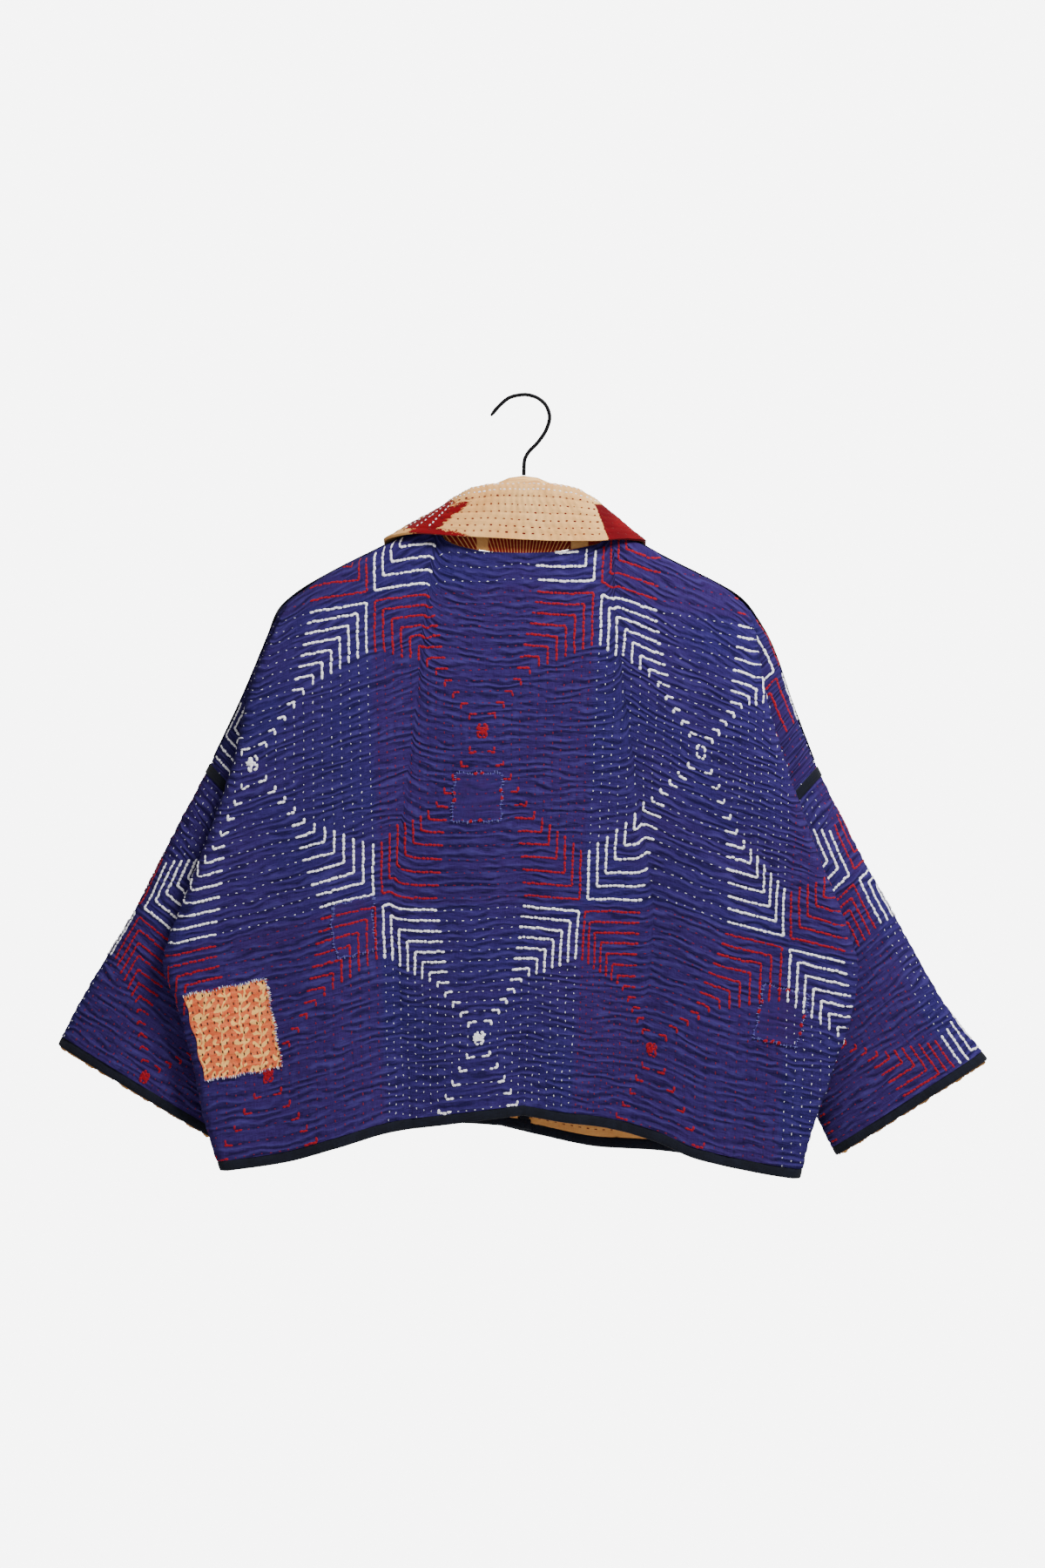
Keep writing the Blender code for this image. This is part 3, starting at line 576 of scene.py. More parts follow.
def sewn(region, kind, lines):
    # Those stitches that lie on the region, as ends, normals and sizes
    wander = [waver(lines[:, 2 * k], lines[:, 2 * k + 1]) for k in (0, 1)]
    jitter = dice.normal(0, pattern["jitter"][0], (len(lines), 4))
    jitter[:, 3] = jitter[:, 1] + dice.normal(0, pattern["jitter"][1], len(lines))
    ends = [(lines[:, 2 * k] - wander[k][0] + jitter[:, 2 * k],
             lines[:, 2 * k + 1] - wander[k][1] + jitter[:, 2 * k + 1]) for k in (0, 1)]
    p0, n0, ok0 = placeOn(region, *ends[0])
    p1, n1, ok1 = placeOn(region, *ends[1])
    fine = ok0 & ok1
    normal = unit(n0 + n1)
    _, wide, high, _ = stitchSizes[kind]
    return p0[fine], p1[fine], normal[fine], np.full(fine.sum(), wide), np.full(fine.sum(), high)


grainSizes = dict(shoulders=(0.24, 0.76), sunk=0.1, wide=(0.85, 1.15), high=(0.85, 1.2), around=3.0)


def threadMesh(name, parts, material):
    # Each stitch is one small closed grain: two tips, and two three-cornered rings between
    p0, p1, normal, wide, high = (np.concatenate([p[k] for p in parts]) for k in range(5))
    along = p1 - p0
    across = unit(np.cross(normal, along))
    wide = (wide * dice.uniform(*grainSizes["wide"], len(wide)))[:, None]
    high = (high * dice.uniform(*grainSizes["high"], len(high)))[:, None]
    sunk = normal * grainSizes["sunk"]
    verts = [p0 - sunk, p1 - sunk]
    for share in grainSizes["shoulders"]:
        at = p0 + along * share
        verts += [at - across * wide / 2, at + normal * high, at + across * wide / 2]
    verts = np.stack(verts, axis=1).reshape(-1, 3)
    grain = [(0, 2, 3), (0, 3, 4), (0, 4, 2), (1, 6, 5), (1, 7, 6), (1, 5, 7),
             (2, 5, 6, 3), (3, 6, 7, 4), (4, 7, 5, 2)]
    faces = [[8 * s + k for k in face] for s in range(len(p0)) for face in grain]
    length = np.linalg.norm(along, axis=1)
    uv = np.zeros((len(p0), 8, 2))
    uv[:, 1, 0] = length
    for k, share in zip((2, 5), grainSizes["shoulders"]):
        uv[:, k:k + 3, 0] = (length * share)[:, None]
        uv[:, k:k + 3, 1] = np.linspace(0, grainSizes["around"], 3)[None]
    uv[:, :2, 1] = grainSizes["around"] / 2
    return newObject(name, verts, faces, [material], uv=uv.reshape(-1, 2), sharp=85)


ribbonSizes = dict(around=14, square=0.7, pucker=0.12, puckerPitch=7.5, stray=(1.5, 60), uneven=(0.08, 45),
                   hemOver=1.2, cuffOver=0.9)


def ribbon(name, centres, across, normals, halfWide, halfThick, material, closed=False, over=0.0):
    # A rounded tape along a line of places, with slight puckers from its seam. It is made
    # wider by over on the side away from across, so that it overlaps the cloth
    centres, across, normals = (np.asarray(a, float) for a in (centres, across, normals))
    centres, halfWide = centres - across * over / 2, halfWide + over / 2
    steps = np.linalg.norm(np.diff(centres, axis=0), axis=1)
    along = np.concatenate([[0], np.cumsum(steps)])
    count = ribbonSizes["around"]
    turns = np.linspace(0, 2 * np.pi, count, endpoint=False)
    side, lift = (np.sign(way) * np.abs(way) ** ribbonSizes["square"]
                  for way in (np.cos(turns), np.sin(turns)))
    (stray, strayLong), (uneven, unevenLong) = ribbonSizes["stray"], ribbonSizes["uneven"]
    phase = along * 2 * np.pi / ribbonSizes["puckerPitch"] + stray * waves(along, 0 * along, 31, strayLong)
    pucker = 1 + ribbonSizes["pucker"] * np.sin(phase)
    pucker = pucker * (1 + uneven * waves(along, 0 * along, 32, unevenLong))
    rings = (centres[:, None] + across[:, None] * (halfWide * side)[None, :, None]
             + normals[:, None] * (halfThick * lift[None, :] * pucker[:, None])[..., None])
    n = len(centres)
    faces = []
    for r in range(n if closed else n - 1):
        q = (r + 1) % n
        for k in range(count):
            m = (k + 1) % count
            faces.append([r * count + k, r * count + m, q * count + m, q * count + k])
    if not closed:
        faces += [list(range(count))[::-1], [(n - 1) * count + k for k in range(count)]]
    uv = np.stack(np.broadcast_arrays(along[:, None], (turns * halfWide)[None, :]), axis=-1)
    made = newObject(name, rings.reshape(-1, 3), faces, [material], uv=uv.reshape(-1, 2))
    if meshVolume(made.data) < 0:
        made.data.flip_normals()
    return made


def meshVolume(mesh):
    mesh.calc_loop_triangles()
    corners = np.empty(len(mesh.vertices) * 3, np.float32)
    mesh.vertices.foreach_get("co", corners)
    ids = np.empty(len(mesh.loop_triangles) * 3, np.int32)
    mesh.loop_triangles.foreach_get("vertices", ids)
    a, b, c = (corners.reshape(-1, 3)[ids.reshape(-1, 3)[:, k]] for k in range(3))
    return float(np.einsum("ij,ij->i", a, np.cross(b, c)).sum())


def unit(vectors):
    return vectors / np.maximum(np.linalg.norm(vectors, axis=-1, keepdims=True), 1e-9)


def seat(piece, slot, *nodes):
    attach(piece, "root")
    if nodes:
        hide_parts(*nodes)
    return piece


# Materials
def startMaterial(name, roughness=0.9, sheen=0.0):
    material = bpy.data.materials.new(name)
    material.use_nodes = True
    shader = material.node_tree.nodes["Principled BSDF"]
    shader.inputs["Roughness"].default_value = roughness
    shader.inputs["Sheen Weight"].default_value = sheen
    shader.inputs["Specular IOR Level"].default_value = 0.12
    return material, material.node_tree, shader


def split(tree, vector):  # the three numbers of a vector
    made = tree.nodes.new("ShaderNodeSeparateXYZ")
    tree.links.new(vector, made.inputs[0])
    return made.outputs


def maths(tree, operation, a, b=None, c=None):
    made = tree.nodes.new("ShaderNodeMath")
    made.operation = operation
    for k, value in enumerate((a, b, c)):
        if value is None:
            continue
        if hasattr(value, "links"):
            tree.links.new(value, made.inputs[k])
        else:
            made.inputs[k].default_value = value
    return made.outputs[0]


def colourMix(tree, factor, a, b):
    made = tree.nodes.new("ShaderNodeMix")
    made.data_type = "RGBA"
    for socket, value in ((made.inputs[0], factor), (made.inputs[6], a), (made.inputs[7], b)):
        if hasattr(value, "links"):
            tree.links.new(value, socket)
        else:
            socket.default_value = (*value, 1)
    return made.outputs[2]


def between(tree, value, low, high, fromLow=0.0, fromHigh=1.0):
    made = tree.nodes.new("ShaderNodeMapRange")
    made.interpolation_type = "SMOOTHSTEP"
    tree.links.new(value, made.inputs[0])
    for k, number in ((1, low), (2, high), (3, fromLow), (4, fromHigh)):
        made.inputs[k].default_value = number
    return made.outputs[0]


def tint(tree, base, colour, value, *ends):
    # Mixes a colour in by a value, which goes between its ends as in between
    return colourMix(tree, between(tree, value, *ends), base, colour)


def rgb(r, g, b):  # a linear colour from the 0 to 255 values seen in a picture
    return tuple((v / 255 / 12.92) if v / 255 <= 0.04045 else ((v / 255 + 0.055) / 1.055) ** 2.4
                 for v in (r, g, b))


def noise(tree, vector, scale, detail=3.0, roughness=0.55, stretch=None):
    if stretch:
        mapping = tree.nodes.new("ShaderNodeMapping")
        mapping.inputs["Scale"].default_value = stretch
        tree.links.new(vector, mapping.inputs["Vector"])
        vector = mapping.outputs[0]
    made = tree.nodes.new("ShaderNodeTexNoise")
    made.inputs["Scale"].default_value = scale
    made.inputs["Detail"].default_value = detail
    made.inputs["Roughness"].default_value = roughness
    tree.links.new(vector, made.inputs["Vector"])
    return made.outputs["Fac"]


def startGroup(name, inputs, outputs):
    # A node group with its sockets, given as names and kinds, and its two end nodes
    group = bpy.data.node_groups.new(name, "ShaderNodeTree")
    for way, sockets in (("INPUT", inputs), ("OUTPUT", outputs)):
        for label, kind in sockets.items():
            group.interface.new_socket(label, in_out=way, socket_type="NodeSocket" + kind)
    return group, group.nodes.new("NodeGroupInput").outputs, group.nodes.new("NodeGroupOutput").inputs


def useGroup(tree, group, vector, **numbers):
    made = tree.nodes.new("ShaderNodeGroup")
    made.node_tree = group
    for label, number in numbers.items():
        made.inputs[label].default_value = number
    tree.links.new(vector, made.inputs["Vector"])
    return made.outputs


# Sizes in metres; a stretch is how many cells of noise a metre holds, each way
weaveLook = dict(pitch=0.0007, high=0.35, slubAcross=(90, 1600, 1), slubDown=(1600, 90, 1))
rippleLook = dict(pitch=0.0078, stray=0.019, strayStretch=(24, 52, 1), patchStretch=(38, 60, 1),
                  patchEnds=(0.35, 0.6), least=0.2, fineStretch=(110, 420, 1))


def makeWeaveGroup():
    # Threads both ways on the cloth map: Height for bump, Speck for colour
    group, start, end = startGroup("clothWeave", {"Vector": "Vector", "Threads": "Float"},
                                   {"Height": "Float", "Speck": "Float"})
    part = split(group, start["Vector"])
    threads = []
    for axis in (0, 1):
        turn = maths(group, "MULTIPLY", part[axis], 2 * math.pi / weaveLook["pitch"])
        turn = maths(group, "MULTIPLY", turn, start["Threads"])
        threads.append(maths(group, "SINE", turn))
    weave = maths(group, "MULTIPLY", threads[0], threads[1])
    slubAcross, slubDown = (noise(group, start["Vector"], 1.0, 2.0, 0.6, weaveLook[way])
                            for way in ("slubAcross", "slubDown"))
    slub = maths(group, "ADD", slubAcross, slubDown)
    high = maths(group, "ADD", maths(group, "MULTIPLY", weave, weaveLook["high"]), slub)
    group.links.new(high, end["Height"])
    group.links.new(slub, end["Speck"])
    return group


weaveGroup = makeWeaveGroup()


def addWeave(tree, vector, threads=1.0):
    made = useGroup(tree, weaveGroup, vector, Threads=threads)
    return made["Height"], made["Speck"]


def makeRippleGroup():
    # Wavy puckers that run across the cloth: Height for bump, Fold for colour, a mask for painted highlight
    # on the ripples' crests and painted shade in their valleys
    group, start, end = startGroup("clothRipples", {"Vector": "Vector"}, {"Height": "Float", "Fold": "Float"})
    part = split(group, start["Vector"])
    stray = noise(group, start["Vector"], 1.0, 2.0, 0.5, rippleLook["strayStretch"])
    down = maths(group, "MULTIPLY_ADD", stray, rippleLook["stray"], part[1])
    wave = maths(group, "SINE", maths(group, "MULTIPLY", down, 2 * math.pi / rippleLook["pitch"]))
    patchy = noise(group, start["Vector"], 1.0, 2.0, 0.5, rippleLook["patchStretch"])
    patchy = between(group, patchy, *rippleLook["patchEnds"], rippleLook["least"], 1.0)
    fine = noise(group, start["Vector"], 1.0, 3.0, 0.6, rippleLook["fineStretch"])
    wave = maths(group, "MULTIPLY", wave, patchy)
    high = maths(group, "ADD", maths(group, "MULTIPLY", wave, 0.5), fine)
    group.links.new(high, end["Height"])
    group.links.new(maths(group, "MULTIPLY_ADD", wave, 0.5, 0.5), end["Fold"])
    return group


rippleGroup = makeRippleGroup()


def addRipples(tree, vector):
    made = useGroup(tree, rippleGroup, vector)
    return made["Height"], made["Fold"]


def addBump(tree, shader, height, strength, distance, before=None):
    made = tree.nodes.new("ShaderNodeBump")
    made.inputs["Strength"].default_value = strength
    made.inputs["Distance"].default_value = distance
    tree.links.new(height, made.inputs["Height"])
    if before is not None:
        tree.links.new(before, made.inputs["Normal"])
    tree.links.new(made.outputs[0], shader.inputs["Normal"])
    return made.outputs[0]


def clothMap(tree):
    return tree.nodes.new("ShaderNodeUVMap").outputs["UV"]


def attribute(tree, name):
    made = tree.nodes.new("ShaderNodeAttribute")
    made.attribute_name = name
    return made.outputs["Fac"]


# The deep colour serves both for darker threads and for painted shade in the grooves and ripple valleys; the
# pale one serves both for paler threads and wear and for a painted highlight on the crests and ripples
quiltLook = dict(blue=(0.0105, 0.0063, 0.068), violet=(0.0175, 0.0065, 0.07),
                 warm=(0.021, 0.0045, 0.056), fadedAndHighlight=(0.042, 0.03, 0.15), deep=(0.003, 0.0018, 0.022))


def makeQuiltMaterial():
    material, tree, shader = startMaterial("indigoQuilt", 0.95)
    place = clothMap(tree)
    crest, warm = attribute(tree, "crest"), attribute(tree, "warmCell")
    drift = between(tree, noise(tree, place, 9, 3), 0.35, 0.68)
    base = colourMix(tree, drift, quiltLook["blue"], quiltLook["violet"])
    base = colourMix(tree, maths(tree, "MULTIPLY", warm, 0.55), base, quiltLook["warm"])
    # Paler in blotches on the puckers' crests: partly real wear, partly a painted highlight on the raised
    # cloth
    blotch = between(tree, noise(tree, place, 34, 4, 0.65), 0.5, 0.78, 0.0, 0.5)
    paler = maths(tree, "MULTIPLY", between(tree, crest, 0.35, 1.0, 0.1, 1.0), blotch)
    base = colourMix(tree, paler, base, quiltLook["fadedAndHighlight"])
    # Painted shade: darker in the grooves along the stitch lines
    base = tint(tree, base, quiltLook["deep"], crest, 0.0, 0.55, 0.62, 0.0)
    high, speck = addWeave(tree, place)
    base = tint(tree, base, quiltLook["fadedAndHighlight"], speck, 0.72, 1.3, 0.0, 0.38)
    base = tint(tree, base, quiltLook["deep"], speck, 0.55, 0.95, 0.34, 0.0)
    ripple, fold = addRipples(tree, place)
    # Painted highlight on the ripples' crests and painted shade in their valleys
    base = tint(tree, base, quiltLook["fadedAndHighlight"], fold, 0.5, 1.0, 0.0, 0.55)
    base = tint(tree, base, quiltLook["deep"], fold, 0.0, 0.3, 0.6, 0.0)
    tree.links.new(base, shader.inputs["Base Color"])
    first = addBump(tree, shader, ripple, 0.8, 0.0022)
    addBump(tree, shader, high, 0.5, 0.00022, first)
    return material


tanLook = dict(base=rgb(212, 150, 84), pale=rgb(226, 176, 112), dull=rgb(184, 124, 70),
               red=rgb(116, 0, 10), darkRed=rgb(86, 0, 10))


def stitchRows(tree, place, rowGap, pitch, long, thick):
    # A mask of running stitch in rows, for cloth seen only from inside
    part = split(tree, place)
    row = maths(tree, "DIVIDE", part[1], rowGap)
    shift = maths(tree, "MULTIPLY", maths(tree, "FLOOR", row), 0.37)
    along = maths(tree, "FRACT", maths(tree, "ADD", maths(tree, "DIVIDE", part[0], pitch), shift))
    across = maths(tree, "FRACT", row)
    near = maths(tree, "ABSOLUTE", maths(tree, "SUBTRACT", across, 0.5))
    inRow = between(tree, near, thick * 0.7, thick, 1.0, 0.0)
    middle = maths(tree, "ABSOLUTE", maths(tree, "SUBTRACT", along, 0.5))
    inDash = between(tree, middle, long * 0.8, long, 1.0, 0.0)
    return maths(tree, "MULTIPLY", inRow, inDash)


def makeInsideMaterial():
    material, tree, shader = startMaterial("tanInside", 0.92, 0.1)
    place = clothMap(tree)
    drift = between(tree, noise(tree, place, 14, 3), 0.35, 0.7)
    base = colourMix(tree, drift, tanLook["base"], tanLook["dull"])
    sprig = between(tree, noise(tree, place, 17, 2, 0.4), 0.6, 0.63)
    base = colourMix(tree, sprig, base, tanLook["red"])
    dash = stitchRows(tree, place, 0.0105, 0.0085, 0.17, 0.07)
    base = colourMix(tree, dash, base, tanLook["darkRed"])
    high, speck = addWeave(tree, place)
    base = tint(tree, base, tanLook["pale"], speck, 0.75, 1.3, 0.0, 0.35)
    tree.links.new(base, shader.inputs["Base Color"])
    crinkle = noise(tree, place, 1.0, 3.0, 0.6, (95, 300, 1))
    first = addBump(tree, shader, crinkle, 0.6, 0.0012)
    addBump(tree, shader, high, 0.5, 0.0002, first)
    return material


def makeTapeMaterial():
    material, tree, shader = startMaterial("navyTape", 0.85, 0.08)
    place = clothMap(tree)
    drift = noise(tree, place, 60, 3)
    base = colourMix(tree, between(tree, drift, 0.35, 0.7), rgb(5, 7, 16), rgb(10, 13, 25))
    high, speck = addWeave(tree, place, 1.3)
    base = tint(tree, base, rgb(26, 31, 48), speck, 0.8, 1.3, 0.0, 0.3)
    tree.links.new(base, shader.inputs["Base Color"])
    first = addBump(tree, shader, drift, 0.4, 0.001)
    addBump(tree, shader, high, 0.5, 0.0002, first)
    return material


def makeThreadMaterial(name, colour, shade):
    material, tree, shader = startMaterial(name, 0.75, 0.1)
    place = clothMap(tree)
    part = split(tree, place)
    slant = maths(tree, "ADD", part[0], maths(tree, "MULTIPLY", part[1], 0.9))
    twist = maths(tree, "SINE", maths(tree, "MULTIPLY", slant, 2 * math.pi / 0.0011))
    dark = between(tree, twist, -1.0, 0.1, 0.55, 0.0)
    tree.links.new(colourMix(tree, dark, colour, shade), shader.inputs["Base Color"])
    addBump(tree, shader, twist, 0.6, 0.0002)
    return material


quiltMaterial = makeQuiltMaterial()
insideMaterial = makeInsideMaterial()
tapeMaterial = makeTapeMaterial()
threads = dict(
    white=makeThreadMaterial("whiteThread", rgb(254, 252, 254), rgb(196, 192, 212)),
    red=makeThreadMaterial("redThread", rgb(150, 2, 22), rgb(78, 0, 18)),
    darkRed=makeThreadMaterial("darkRedThread", rgb(112, 6, 40), rgb(70, 2, 34)),
    wine=makeThreadMaterial("wineThread", rgb(104, 6, 12), rgb(62, 2, 8)),
    brown=makeThreadMaterial("brownThread", rgb(74, 34, 26), rgb(40, 16, 14)),
    blue=makeThreadMaterial("blueThread", rgb(112, 112, 176), rgb(64, 60, 124)),
)
kindThread = dict(whiteBold="white", whitePick="white", redBold="red", redPick="darkRed",
                  whiteDash="white", redDash="wine")
print("materials made")


# Quilted panels: a fine outside with puckers, a plain tan inside
panelSizes = dict(openColumns=146, behind=22, armward=18, upperRows=116, lowerRows=113, every=5)
sleeveSizes = dict(around=84, rows=121, every=4, gapAtArm=0.7)
# Added to the hang height of a panel or to the length of a sleeve; the collar's own depth
cutSizes = dict(panelMore=12, sleeveMore=110, collarDeep=175.0)
hemRow = 1 - cloth["bindingWide"] / shape["hangHigh"]
clothEnd = hemRow - 2 * cloth["gap"] / shape["hangHigh"]
upperRows = np.linspace(0.0047, shape["underarm"], panelSizes["upperRows"])
lowerRows = np.linspace(shape["underarm"], clothEnd, panelSizes["lowerRows"])[1:]
panelRows = np.concatenate([[0.0, 0.0016, 0.0032], upperRows, lowerRows])
underarmRow = 2 + panelSizes["upperRows"]


def picked(marks, every):
    # Every so many of a count, keeping the marked ones
    kept = []
    for low, high in zip(marks, marks[1:]):
        count = max(1, round((high - low) / every))
        kept += [low + round(k * (high - low) / count) for k in range(count)]
    return sorted(set(kept + [marks[-1]]))


def lengthAlong(grid, start):  # signed length of each row from the start column
    steps = np.linalg.norm(np.diff(grid, axis=1), axis=2)
    run = np.concatenate([np.zeros((len(grid), 1)), np.cumsum(np.nan_to_num(steps), axis=1)], axis=1)
    return run - run[:, start:start + 1]


def quiltHeights(grid, zones):
    # Relief, crest and red marks over a grid from its zones: layout, rows, columns, u, v, way back
    high, crest, warm = (np.zeros(grid.shape[:2]) for _ in range(3))
    for layout, rows, columns, zoneU, zoneV, _ in zones:
        zoneV = zoneV if zoneV.ndim == 2 else np.broadcast_to(zoneV[:, None], zoneU.shape)
        found = relief(layouts[layout], zoneU, zoneV)
        high[rows, columns], crest[rows, columns], warm[rows, columns] = found
    return high, crest, warm


def armZone(side, grid, columns, flipped):
    # Cloth places on the part between the inner fold and the arm line
    share = panelRows[:underarmRow + 1] / shape["underarm"]
    arm = path(side["arm"], np.linspace(0, 1, 60))
    long = float(np.linalg.norm(np.diff(arm, axis=0), axis=1).sum())
    block = grid[:underarmRow + 1, columns]
    last = 0 if flipped else block.shape[1] - 1
    u = np.abs(lengthAlong(block, last))
    return u, share * long


panels = {}


def liftedRows(kind, rowsV, folds, tops):
    # Ways between panel rows and pattern rows where the cloth lies across the shoulder
    reach = liftReach[kind]

    def liftAt(u, row):
        lifts = 0
        for way, fold in folds.items():
            out = np.clip(u / np.interp(row, rowsV, fold), 0, 1) * tops[way]
            knots = rowLift["front"] if kind == "front" else rowLift[way]
            found = np.interp(out, *zip(*knots))
            lifts = lifts + np.where(u * fold[0] > 0, found, 0)
        return lifts

    def toCloth(u, row):
        return row + liftAt(u, row) * np.maximum(0, 1 - row / reach)

    def toRow(u, v):
        row = v
        for _ in range(5):
            lift = liftAt(u, row)
            row = np.where(v < reach, (v - lift) / (1 - lift / reach), v)
        return row

    return toCloth, toRow


def sheetArea(grid, cells):
    corners = grid.reshape(-1, 3)[cells]
    across = np.cross(corners[:, 2] - corners[:, 0], corners[:, 3] - corners[:, 1])
    return 0.5 * np.linalg.norm(across, axis=1).sum() * mm * mm


def makePanel(name, grid, flip, face, zones, pickColumns, centre):
    cells = cellsOf(grid, flip)
    normals = facing(grid, cells)
    u = lengthAlong(grid * np.array([1.0, 1.0, 0.0]), centre)
    v = panelRows * shape["hangHigh"]
    zones = zones(grid, u, v)
    high, crest, warm = quiltHeights(grid, zones)
    outer = grid + normals * (cloth["thick"] / 2 + high[..., None])
    under = grid - normals * cloth["thick"] / 2
    for skin in (outer, under):
        skin[..., 1] = face * np.maximum(cloth["gap"] / 2, face * skin[..., 1])
    uv = np.stack(np.broadcast_arrays(u, -v[:, None]), axis=-1)
    pickRows = picked([0, underarmRow, len(panelRows) - 1], panelSizes["every"])
    made = closedWall(name + "_quilt", grid, cells, flip, outer, under, [quiltMaterial, insideMaterial],
                      uv, dict(crest=crest, warmCell=warm), pickRows, pickColumns)
    seat(made, "indigo_quilt", name)
    regions = []
    for layout, rows, columns, zoneU, zoneV, toRow in zones:
        order = slice(None) if zoneU[0, 0] < zoneU[0, -1] else slice(None, None, -1)
        region = dict(layout=layout, outer=outer[rows, columns][:, order],
                      normals=normals[rows, columns][:, order], u=zoneU[:, order])
        if toRow:
            region.update(v=v, toRow=toRow)
        else:
            region["v"] = zoneV
        regions.append(region)
    wide = float(np.nanmax(np.nanmax(u, axis=1) - np.nanmin(u, axis=1)))
    long = shape["hangHigh"] * clothEnd + cutSizes["panelMore"]
    panels[name] = dict(piece=made, regions=regions, area=sheetArea(grid, cells), outer=outer,
                        normals=normals, centre=centre, trim=[], flat=(wide, long))
    print(name, "made,", len(cells), "cells, area", round(panels[name]["area"], 3))


def makeBack():
    n, b, a = panelSizes["openColumns"], panelSizes["behind"], panelSizes["armward"]
    f = np.linspace(0, 1, n)
    left = halfPanel(sides["left"], -1, panelRows, f, b, a)
    right = halfPanel(sides["right"], -1, panelRows, f, b, a)
    grid = np.concatenate([left[:, :0:-1], right], axis=1)
    wide = left.shape[1] - 1
    marks = [0, n - 1, n + b - 2, wide]
    half = picked(marks, panelSizes["every"])
    columns = sorted({wide - c for c in half} | {wide + c for c in half})

    def zones(grid, u, v):
        armStart = n + b - 2
        middle = slice(wide - armStart, wide + armStart + 1)
        folds = {"left": u[:, wide - n + 1], "right": u[:, wide + n - 1]}
        tops = {label: side["fold"][0][0] for label, side in sides.items()}
        toCloth, toRow = liftedRows("back", v, folds, tops)
        clothV = toCloth(u[:, middle], v[:, None])
        found = [("back", slice(None), middle, u[:, middle], clothV, toRow)]
        upper = slice(0, underarmRow + 1)
        rightArm, leftArm = slice(wide + armStart, 2 * wide + 1), slice(0, wide - armStart + 1)
        for label, layout, part in (("right", "armRight", rightArm), ("left", "armLeft", leftArm)):
            zoneU, zoneV = armZone(sides[label], grid, part, label == "left")
            found.append((layout, upper, part, zoneU, zoneV, None))
        return found

    makePanel("back", grid, False, -1, zones, columns, wide)


def makeFront(label):
    side = sides[label]
    n, b, a = panelSizes["openColumns"], panelSizes["behind"], panelSizes["armward"]
    edge = (cloth["bindingWide"] + cloth["gap"]) / side["fold"][0][0]
    f = np.linspace(edge, 1, n)
    grid = halfPanel(side, 1, panelRows, f, b, a)
    wide = grid.shape[1] - 1
    columns = picked([0, n - 1, n + b - 2, wide], panelSizes["every"])

    def zones(grid, u, v):
        armStart = n + b - 2
        layout = "frontLeft" if label == "left" else "frontRight"
        part = slice(0, armStart + 1)
        top = {label: side["fold"][0][0]}
        toCloth, toRow = liftedRows("front", v, {label: u[:, n - 1]}, top)
        found = [(layout, slice(None), part, u[:, part], toCloth(u[:, part], v[:, None]), toRow)]
        part = slice(armStart, wide + 1)
        zoneU, zoneV = armZone(side, grid, part, False)
        found.append((layout, slice(0, underarmRow + 1), part, zoneU, zoneV, None))
        return found

    makePanel("front_" + label, grid, side["sign"] > 0, 1, zones, columns, 0)


def sleeveRing(side, t, count):
    # One ring of the sleeve: the back half from the inner edge out, then the front half
    outX, outZ = path(side["sleeveOut"], t)
    inX, inZ = path(side["sleeveIn"], t)
    deep = mix(shape["armHalfDeep"], shape["cuffHalfDeep"], t)
    q = (1 - np.cos(np.linspace(0, np.pi, 161))) / 2
    half = np.stack([mix(inX, outX, q), -deep * arch(q), mix(inZ, outZ, q)], axis=-1)
    along = np.concatenate([[0], np.cumsum(np.linalg.norm(np.diff(half, axis=0), axis=1))])
    at = np.linspace(0, along[-1], count)
    back = np.stack([np.interp(at, along, half[:, k]) for k in range(3)], axis=-1)
    front = back[::-1][1:-1] * np.array([1, -1, 1])
    ring = np.concatenate([back, front])
    ring[:, 0] *= side["sign"]
    return ring, along[-1]


def makeSleeve(label):
    side = sides[label]
    name = "sleeve_" + label
    long = math.dist(side["sleeveOut"][0], side["sleeveOut"][-1])
    start, cuff = sleeveSizes["gapAtArm"] / long, 1 - cloth["bindingWide"] / long
    shares = np.linspace(start, cuff - cloth["gap"] / long, sleeveSizes["rows"])
    count = sleeveSizes["around"]
    layout = "sleeve" + label.capitalize()
    rings = [sleeveRing(side, t, count) for t in shares]
    grid = np.stack([ring for ring, _ in rings])
    halfAround = np.array([h for _, h in rings])
    flip = side["sign"] < 0
    cells = cellsOf(grid, flip, closed=True)
    normals = facing(grid, cells)
    columns = grid.shape[1]
    k = np.arange(columns)
    offset = np.where(k < count, 1 - k / (count - 1), -(k - (count - 1)) / (count - 1))
    u = halfAround[:, None] * offset[None, :]
    v = shares * long
    high, crest, warm = relief(layouts[layout], u, np.broadcast_to(v[:, None], u.shape))
    outer = grid + normals * (cloth["thick"] / 2 + high[..., None])
    under = grid - normals * cloth["thick"] / 2
    uv = np.stack(np.broadcast_arrays(u, -v[:, None]), axis=-1)
    pickRows = picked([0, len(shares) - 1], sleeveSizes["every"])
    pickColumns = picked([0, count - 1, columns], sleeveSizes["every"])[:-1]
    made = closedWall(name + "_quilt", grid, cells, flip, outer, under, [quiltMaterial, insideMaterial],
                      uv, dict(crest=crest, warmCell=warm), pickRows, pickColumns, closed=True)
    seat(made, "indigo_quilt", name)
    order = np.arange(columns)[::-1]
    full = np.concatenate([outer[:, order][:, -1:], outer[:, order]], axis=1)
    fullN = np.concatenate([normals[:, order][:, -1:], normals[:, order]], axis=1)
    fullU = np.concatenate([-halfAround[:, None], u[:, order]], axis=1)
    region = dict(layout=layout, outer=full, normals=fullN, u=fullU, v=v)
    panels[name] = dict(piece=made, regions=[region], area=sheetArea(grid, cells), trim=[],
                        flat=(2 * float(halfAround.max()), float(v[-1]) + cutSizes["sleeveMore"]))
    print(name, "made,", len(cells), "cells, area", round(panels[name]["area"], 3))


makeBack()
for label in sides:
    makeFront(label)
    makeSleeve(label)


bindingSizes = dict(openColumns=90, behind=26, armward=22)


